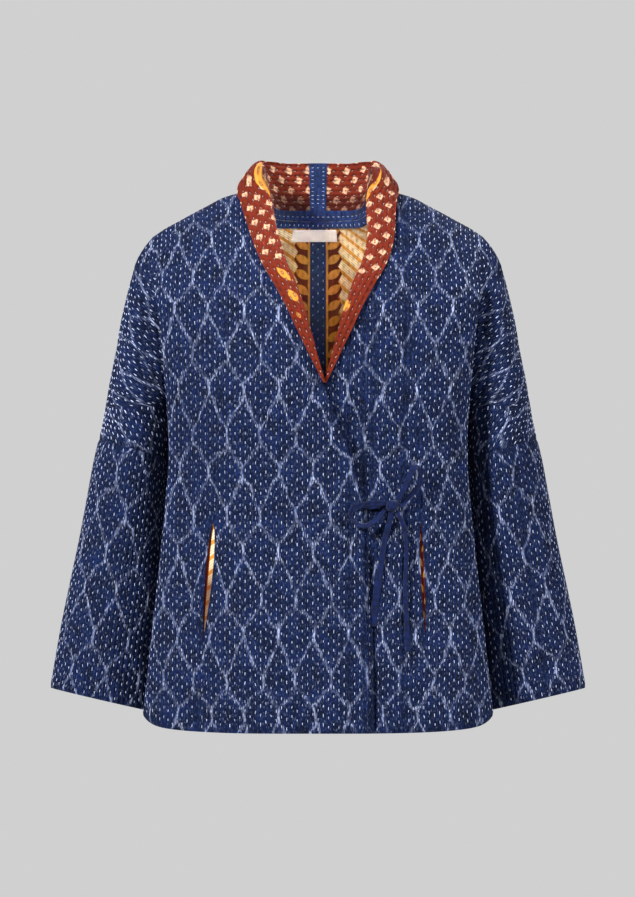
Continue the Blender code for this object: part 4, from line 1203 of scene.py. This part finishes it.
def printed_squares(node, place, colours, across=12.0, along=22.0):
    """Rust cotton, block printed with small cream squares, a dark dot in each, by turns half a step on."""
    moved = shifted(node, place, 0.5, 3.0, 3.0)
    cell = node("VectorMath MULTIPLY", moved, (1 / across, 1 / along, 1.0))
    x = node("SeparateXYZ", cell)
    column = node("Math FLOOR", x)
    odd = node("Math FLOORED_MODULO", column, 2.0)
    y = node("Math MULTIPLY_ADD", odd, 0.5, x.node.outputs[1])
    centred = node("CombineXYZ", node("Math FRACT", x), node("Math FRACT", y), 0.0)
    centred = node("VectorMath SUBTRACT", centred, (0.5, 0.5, 0.0))
    centred = node("VectorMath MULTIPLY", centred, (across, along, 0.0))
    turned = node("VectorRotate", centred, Angle=np.radians(24), rotation_type="Z_AXIS")
    size = node("VectorMath ABSOLUTE", turned)
    sx = node("SeparateXYZ", size)
    reach = node("Math MAXIMUM", sx, sx.node.outputs[1])
    square = node("MapRange", reach, 3.0, 3.9, 1.0, 0.0)
    dot = node("MapRange", node("VectorMath LENGTH", turned, output=1), 0.5, 1.1, 1.0, 0.0)
    square = node("Math SUBTRACT", square, dot, use_clamp=True)
    v = node("SeparateXYZ", place).node.outputs[1]
    for end, past in ((242.0, 246.0), (-222.0, -226.0)):
        inside = node("MapRange", v, end, past, 1.0, 0.0)
        square = node("Math MULTIPLY", square, inside)
    cloud = node("TexNoise", place, Scale=0.09, Detail=3.0)
    tone = node("MapRange", cloud, 0.3, 0.6, 0.55, 1.0)
    ground = node("MixRGB", tone, colours.rust_deep, colours.rust)
    worn = node("MapRange", stretched_noise(node, place, 1.6, 1.6, 2.0), 0.3, 0.55, 0.45, 1.0)
    return node("MixRGB", node("Math MULTIPLY", square, worn), ground, colours.cream)


# Ochre leaves of the collar's print: distance in from the free edge and along the seam, half width and
# half length, and turn
COLLAR_LEAVES = (
    ((33.0, -116.0), (6.5, 22.0), -14), ((33.0, 126.0), (3.6, 24.0), 16), ((13.0, -246.0), (4.4, 12.5), -17),
    ((10.0, -277.0), (4.8, 10.0), -12), ((6.0, -302.0), (2.2, 4.5), -10), ((16.0, 290.0), (5.5, 9.0), -25),
)
# The same for a leaf and a line beside the back seam, by steps of 19 mm, and for the left pocket edge, by 31
SEAM_LEAVES = (((19.0, 10.0), (5.2, 10.4), -52), ((11.0, 9.5), (1.3, 60.0), 0))
POCKET_LEAVES = (((-1.0, 8.0), (1.8, 6.5), 12), ((2.0, 23.0), (1.6, 5.0), -16))


def collar_cotton(colours):
    """Printed cotton of the collar: rust with cream squares, ochre leaves by the roll and at its ends, and
    painted shade towards its seam.
    """
    made, node = new_material("block-printed rust cotton")
    place = in_millimetres(node)
    colour = with_leaves(node, place, printed_squares(node, place, colours), colours.ochre, COLLAR_LEAVES)
    # Painted shade: darker from 31 mm in from the free edge on to the seam, where the collar stands in shade
    deep = node("MapRange", node("SeparateXYZ", place), 31.0, 41.0, 0.0, 0.7)
    colour = node("MixRGB", deep, colour, colours.rust_deep, blend_type="MULTIPLY")
    quilted_finish(node, place, colour, colours.rust_deep, 0.65, 1.4, 0.88, 0.06)
    return made


def stripes(node, place, colours, slope=-0.9):
    """Slanting stripes of ochre and cream, with thin dark lines on the cream ones."""
    u = node("SeparateXYZ", place)
    slant = node("Math MULTIPLY_ADD", u, slope, u.node.outputs[1])
    blur = node("TexNoise", place, Scale=0.4, Detail=2.0)
    slant = node("Math MULTIPLY_ADD", blur, 2.0, slant)
    band = node("Math PINGPONG", slant, 9.0)
    ochre = node("MapRange", band, 5.6, 6.4, 0.0, 1.0)
    fine = node("Math PINGPONG", slant, 1.8)
    fine = node("MapRange", fine, 0.05, 0.5, 0.8, 0.0)
    pale = node("MixRGB", fine, colours.straw, colours.rust_deep)
    return node("MixRGB", ochre, pale, colours.ochre)


def reverse_cotton(colours):
    """Printed reverse of the quilt: slanting stripes, and bands of ochre leaves on rust beside a seam."""
    made, node = new_material("block-printed striped cotton")
    place = in_millimetres(node)
    u = node("SeparateXYZ", place)
    size = node("Math ABSOLUTE", u)
    step = node("Math FLOORED_MODULO", u.node.outputs[1], 19.0)
    folded = node("CombineXYZ", size, step, 0.0)
    ground = blend(colours.rust_deep, colours.rust, 0.5)
    leaves = with_leaves(node, folded, ground, colours.ochre, SEAM_LEAVES)
    edge = node("Math MULTIPLY_ADD", node("Math PINGPONG", u.node.outputs[1], 9.5), 0.5, 24.0)
    outside = node("MapRange", node("Math SUBTRACT", size, edge), 0.0, 1.0, 0.0, 1.0)
    colour = node("MixRGB", outside, leaves, stripes(node, place, colours))
    quilted_finish(node, place, colour, colours.rust_deep, 0.3, 0.7, 0.88, 0.06)
    return made


def pocket_cotton(colours, leafy):
    """Printed cotton of the pocket edges: slanting stripes between rust borders, or ochre leaves on rust."""
    made, node = new_material("block-printed pocket cotton" + (", leaves" if leafy else ""))
    place = in_millimetres(node)
    u = node("SeparateXYZ", place)
    if leafy:
        step = node("Math FLOORED_MODULO", u.node.outputs[1], 31.0)
        folded = node("CombineXYZ", u, step, 0.0)
        ground = blend(colours.rust_deep, colours.rust, 0.9)
        colour = with_leaves(node, folded, ground, colours.ochre, POCKET_LEAVES)
    else:
        edge = node("Math ABSOLUTE", node("Math ADD", u, 1.2))
        border = node("MapRange", edge, 2.6, 3.2, 0.0, 1.0)
        colour = node("MixRGB", border, stripes(node, place, colours), colours.rust)
        low = node("MapRange", u.node.outputs[1], -28.0, 6.0, 0.0, 0.85)
        colour = node("MixRGB", low, colour, colours.rust_deep)
    weave = stretched_noise(node, place, 1.2, 1.2, 2.0)
    finish(node, colour, node("Math MULTIPLY", weave, 0.3), 0.88, 0.06)
    return made


def woven_label(colours):
    """Woven satin label tape, blank: pale, smooth, a little shinier than cotton."""
    made, node = new_material("woven label tape")
    place = in_millimetres(node)
    rib = stretched_noise(node, place, 6.0, 0.7, 1.0)
    cloud = node("TexNoise", place, Scale=0.12, Detail=2.0)
    tone = node("MapRange", cloud, 0.3, 0.7, 0.0, 1.0)
    colour = node("MixRGB", tone, colours.label, colours.label * 0.86)
    height = node("Math MULTIPLY_ADD", rib, 0.18, node("Math MULTIPLY", cloud, 1.2))
    finish(node, colour, height, 0.6, 0.1)
    return made


def cotton_thread(ply):
    """Undyed cotton sewing thread: off-white, matt, a little uneven."""
    made, node = new_material("undyed cotton thread")
    place = node("TexCoord", output=3)
    uneven = node("TexNoise", place, Scale=170.0, Detail=2.0)
    tone = node("MapRange", uneven, 0.35, 0.65, 0.0, 1.0)
    colour = node("MixRGB", tone, ply, ply * 0.6)
    height = node("Math MULTIPLY", node("TexNoise", place, Scale=900.0), 0.15)
    finish(node, colour, height, 0.8, 0.1)
    return made


@functools.cache
def cotton(name):
    """The materials, made once each from the colours of the panel."""
    colours = bpy.context.scene.jacket_colours
    printed = {
        "indigo": resist_dyed_cotton, "collar": collar_cotton, "reverse": reverse_cotton, "label": woven_label,
    }
    if name in printed:
        return printed[name](colours)
    if name.startswith("pocket"):
        return pocket_cotton(colours, name == "pocket_left")
    if name.startswith("thread"):
        return cotton_thread(getattr(colours, name))
    if name == "rust":
        return plain_cotton("plain rust cotton", colours.rust_deep, colours.rust, quilted=False)
    deep = colours.binding_deep
    if name == "binding":
        return plain_cotton("plain indigo binding cotton", deep, colours.binding)
    return plain_cotton("plain indigo tie cotton", deep, colours.tie, quilted=False, wrinkles=0.8)


def hue(name, description, colour):
    """A colour of the panel, with an sRGB hex default."""
    return bpy.props.FloatVectorProperty(
        name=name, description=description, subtype="COLOR", size=3, min=0, max=1, default=linear(colour)[:3]
    )


def length(name, description, metres):
    """A length of the panel, in metres."""
    return bpy.props.FloatProperty(name=name, description=description, default=metres, min=0, unit="LENGTH",
                                   subtype="DISTANCE", precision=4)


class JacketColours(bpy.types.PropertyGroup):
    indigo: hue("Indigo", "Blue of the dyed cloth", "#0C1D47")
    indigo_deep: hue("Deep indigo", "Darkest blue of the dyed cloth", "#040B1E")
    resist: hue("Resist", "Lines that the dye left out", "#A8B4DB")
    thread: hue("Thread", "Running stitches", "#B6C0E0")
    thread_warm: hue("Warm thread", "Running stitches of the collar", "#C9A497")
    rust: hue("Rust", "Ground of the printed cloth", "#641E0E")
    rust_deep: hue("Deep rust", "Darkest rust of the printed cloth", "#431409")
    cream: hue("Cream", "Printed squares and stripes", "#CDA282")
    straw: hue("Straw", "Pale stripes of the reverse", "#E8CDA4")
    ochre: hue("Ochre", "Printed leaves and stripes", "#C28231")
    binding: hue("Binding", "Neck and seam bindings", "#1B2B56")
    binding_deep: hue("Deep binding", "Darkest blue of plain cloth", "#0A1228")
    tie: hue("Ties", "The two ties", "#0C1A48")
    label: hue("Label", "The blank label", "#DDD3CE")
    wall: hue("Background", "The studio's grey", "#D0D0D0")


class JacketSizes(bpy.types.PropertyGroup):
    puff: length("Puff", "Height of the ridges between the rows of quilting", PUFF / 1000)
    stitch_long: length("Stitch length", "Length of a running stitch that shows", 0.005)
    stitch_wide: length("Stitch width", "Width of the doubled thread", 0.0011)
    camera_away: length("Camera distance", "From the camera to the front of the jacket", 16.0)


def declare(piece_object, node_name):
    """Hangs an object under the root, and hides the part of the packed model that it stands for, if it has one.
    """
    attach(piece_object, "root")
    if node_name:
        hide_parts(node_name)


def tape_stitches(name, piece, pitch, step, across, along, by_turns=0):
    """Running stitches on a tape, in rows this far apart, each stitch a step on."""
    rng = np.random.default_rng(3)
    made = stitch_mesh(f"{name}_stitches", piece, rng, cotton("thread"), *TAPE_STITCH, pitch, step, by_turns,
                       1.6, across, along)
    declare(made, None)


def quilted_shells(cloth, materials):
    """Quilted pieces as closed cloth; the edge of a front, at its first column, has a finish of its own."""
    for name, piece in cloth.items():
        edge = piece["column"] < 1e-6 if name.startswith("front") else None
        made = shell(f"{name}_cloth", piece, materials, edge)
        declare(made, name)


class JACKET_OT_cloth(bpy.types.Operator):
    """Makes the quilted fronts, backs and sleeves"""

    bl_idname = "jacket.cloth"
    bl_label = "Quilted cloth"

    def execute(self, context):
        cloth = quilted_cloth(context.scene.jacket_sizes.puff * 1000)
        quilted_shells(cloth, (cotton("indigo"), cotton("reverse"), cotton("rust")))
        return {"FINISHED"}


class JACKET_OT_collar(bpy.types.Operator):
    """Makes both halves of the collar and the strip over their seam"""

    bl_idname = "jacket.collar"
    bl_label = "Collar"

    def execute(self, context):
        quilted_shells(quilted_collar(), (cotton("collar"), cotton("indigo")))
        halves = []
        for side in ("right", "left"):
            _, at = collar_points(side, np.linspace(0, 0.1, 30), np.array([0.5]))
            along = np.interp(np.linspace(0, 10, 7), at, np.linspace(0, 0.1, 30))
            halves.append(collar_points(side, along, spread(0, 1, 60))[0])
        points = np.concatenate([halves[0][:0:-1], halves[1]]).transpose(1, 0, 2)
        facing = surface_normals(points)
        if facing[30, 6, 1] > 0:
            facing = -facing
        off = RIDGE + 1.5 * GAP
        made, piece = laid_tape("collar_strip_cloth", points, facing, off, THIN, cotton("binding"))
        declare(made, "collar_strip")
        tape_stitches("collar_strip", piece, 4.8, 6.6, "v", "u")
        return {"FINISHED"}


class JACKET_OT_neck_trims(bpy.types.Operator):
    """Makes the bindings inside the neck and down the back seam, and the blank label"""

    bl_idname = "jacket.neck_trims"
    bl_label = "Neck trims and label"

    def execute(self, context):
        wide = np.linspace(-76, 76, 101)
        narrow = spread(-9.5, 9.5, 13)
        down = np.linspace(21.6, HEM - 3, 300)
        for name, rows, across, off, flat, sewing in (
            ("neck_binding", spread(-2.4, 10.4, 10), wide, 5 * GAP, (0.152, 0.0115), (4.6, 6.4, "v", "u")),
            ("neck_facing", spread(10.8, 21.0, 9), wide, 5 * GAP, (0.152, 0.0105), (PITCH, 8.0, "u", "v")),
            ("back_seam_binding", down, narrow, 1.5 * GAP, (0.019, 0.64), (PITCH, STITCH, "u", "v", 0.5)),
        ):
            made, piece = laid_tape(f"{name}_cloth", *back_inside(rows, across), off, THIN, cotton("binding"))
            declare(made, name)
            tape_stitches(name, piece, *sewing)
        points, facing = back_inside(spread(23, 45.5, 15), spread(-33, 24, 41))
        made, _ = laid_tape("label_tape", points, facing, 4 * GAP + THIN, 0.6, cotton("label"))
        declare(made, "label")
        return {"FINISHED"}


class JACKET_OT_pocket_edges(bpy.types.Operator):
    """Makes the printed edge behind each pocket slit"""

    bl_idname = "jacket.pocket_edges"
    bl_label = "Pocket edges"

    def execute(self, context):
        for side in ("right", "left"):
            name = f"pocket_{side}"
            points, facing = pocket_grid(side)
            points = points - facing * (WALL + 4 * GAP + THIN)
            made, _ = laid_tape(f"{name}_cloth", points, facing, 0.0, THIN, cotton(name))
            declare(made, name)
        return {"FINISHED"}


class JACKET_OT_bow(bpy.types.Operator):
    """Makes the two ties and their knot"""

    bl_idname = "jacket.bow"
    bl_label = "Bow"

    def execute(self, context):
        rng = np.random.default_rng(11)
        for name, route in TIES.items():
            steps = 24 if name == "tie_stub" else 110
            ring, around, run = tie_points(route, steps, 20, rng)
            made = closed_rings(f"{name}_cloth", ring, around, run, cotton("tie"))
            declare(made, name)
        ring, around, run = knot_rings(rng)
        made = closed_rings("tie_knot_cloth", ring, around, run, cotton("tie"))
        declare(made, "tie_knot")
        return {"FINISHED"}


class JACKET_OT_stitches(bpy.types.Operator):
    """Makes the running stitches of every quilted piece"""

    bl_idname = "jacket.stitches"
    bl_label = "Running stitches"

    def execute(self, context):
        sizes = context.scene.jacket_sizes
        rng = np.random.default_rng(5)
        for name, piece in {**quilted_cloth(sizes.puff * 1000), **quilted_collar()}.items():
            on_collar = name.startswith("collar")
            thin = 0.7 if on_collar else 1
            long, wide = sizes.stitch_long * 1000 * (0.3 + 0.7 * thin), sizes.stitch_wide * 1000 * thin
            thread = cotton("thread_warm" if on_collar else "thread")
            made = stitch_mesh(f"{name}_stitches", piece, rng, thread, long, wide)
            declare(made, None)
        return {"FINISHED"}


# Soft lamps: place, size, power, height on the jacket's middle that they are aimed at, spread in degrees
LIGHTS = (
    ("key", (-2.55, -2.65, 2.0), 0.6, 405.0, -0.3, 180),
    ("fill", (0.1, -3.4, 0.6), 2.0, 27.0, -0.3, 180),
    ("side", (3.2, -1.9, 0.7), 1.5, 178.0, -0.3, 180),
    ("neck", (0.0, -2.6, 0.5), 0.06, 0.095, -0.035, 5),
    ("back", (0.6, 2.4, 1.8), 1.6, 95.0, -0.3, 180),
)


class JACKET_OT_studio(bpy.types.Operator):
    """Makes the camera, the lights and the floor"""

    bl_idname = "jacket.studio"
    bl_label = "Studio"

    def execute(self, context):
        scene = context.scene
        sizes, colours = scene.jacket_sizes, scene.jacket_colours
        # The photograph is 897 pixels tall at 1.19 mm each on the jacket's front, at this depth
        tall, near = 897 * 0.00119, -0.08
        lens = bpy.data.cameras.new("camera")
        lens.lens = 36 * sizes.camera_away / tall
        camera = bpy.data.objects.new("camera", lens)
        camera.location = (-0.0006, near - sizes.camera_away, -0.2898)
        camera.rotation_euler = (np.pi / 2, 0, 0)
        scene.collection.objects.link(camera)
        scene.camera = camera
        for name, place_at, size, power, aimed_at, degrees in LIGHTS:
            lamp = bpy.data.lights.new(name, "AREA")
            lamp.size, lamp.energy, lamp.spread = size, power, np.radians(degrees)
            made = bpy.data.objects.new(name, lamp)
            made.location = place_at
            aim = Vector((0, 0, aimed_at)) - Vector(place_at)
            made.rotation_euler = aim.to_track_quat("-Z", "Y").to_euler()
            scene.collection.objects.link(made)
        world = bpy.data.worlds.new("studio")
        world.use_nodes = True
        world.node_tree.nodes.clear()
        node = functools.partial(add_node, world.node_tree)
        seen = node("LightPath")
        around = node("Background", (0.5, 0.5, 0.5, 1), 0.12)
        behind = node("Background", colours.wall, 1.0)
        node("OutputWorld", node("MixShader", seen, around, behind))
        scene.world = world
        scene.view_settings.view_transform = "Standard"
        # A round floor of one metre radius
        angle = np.linspace(0, 2 * np.pi, 96, endpoint=False)
        rim = 1000 * np.stack([np.cos(angle), np.sin(angle), 0 * angle - 0.96], -1)
        paint, node = new_material("painted studio floor")
        grey = node("MixRGB", node("TexNoise", Scale=3.0), (0.3, 0.3, 0.3, 1), (0.33, 0.33, 0.33, 1))
        node("OutputMaterial", node("BsdfPrincipled", grey, Roughness=0.8))
        write_mesh("floor", rim, np.arange(96), [96], materials=[paint])
        return {"FINISHED"}


STEPS = ("cloth", "collar", "neck_trims", "pocket_edges", "bow", "stitches", "studio")


class JACKET_PT_panel(bpy.types.Panel):
    """Lists the steps that make the jacket's looks"""

    bl_idname = "JACKET_PT_panel"
    bl_label = "Kantha jacket"
    bl_space_type = "VIEW_3D"
    bl_region_type = "UI"
    bl_category = "Jacket"

    def draw(self, context):
        for group in (context.scene.jacket_sizes, context.scene.jacket_colours):
            box = self.layout.box()
            for name in group.__annotations__:
                box.prop(group, name)
        for step in STEPS:
            self.layout.operator(f"jacket.{step}")


CLASSES = (
    JacketColours, JacketSizes, JACKET_OT_cloth, JACKET_OT_collar, JACKET_OT_neck_trims,
    JACKET_OT_pocket_edges, JACKET_OT_bow, JACKET_OT_stitches, JACKET_OT_studio, JACKET_PT_panel,
)


def register():
    for made in CLASSES:
        bpy.utils.register_class(made)
    bpy.types.Scene.jacket_colours = bpy.props.PointerProperty(type=JacketColours)
    bpy.types.Scene.jacket_sizes = bpy.props.PointerProperty(type=JacketSizes)


def unregister():
    del bpy.types.Scene.jacket_sizes
    del bpy.types.Scene.jacket_colours
    for made in reversed(CLASSES):
        bpy.utils.unregister_class(made)


def main():
    register()
    for step in STEPS:
        getattr(bpy.ops.jacket, step)()


if __name__ == "__main__":
    main()
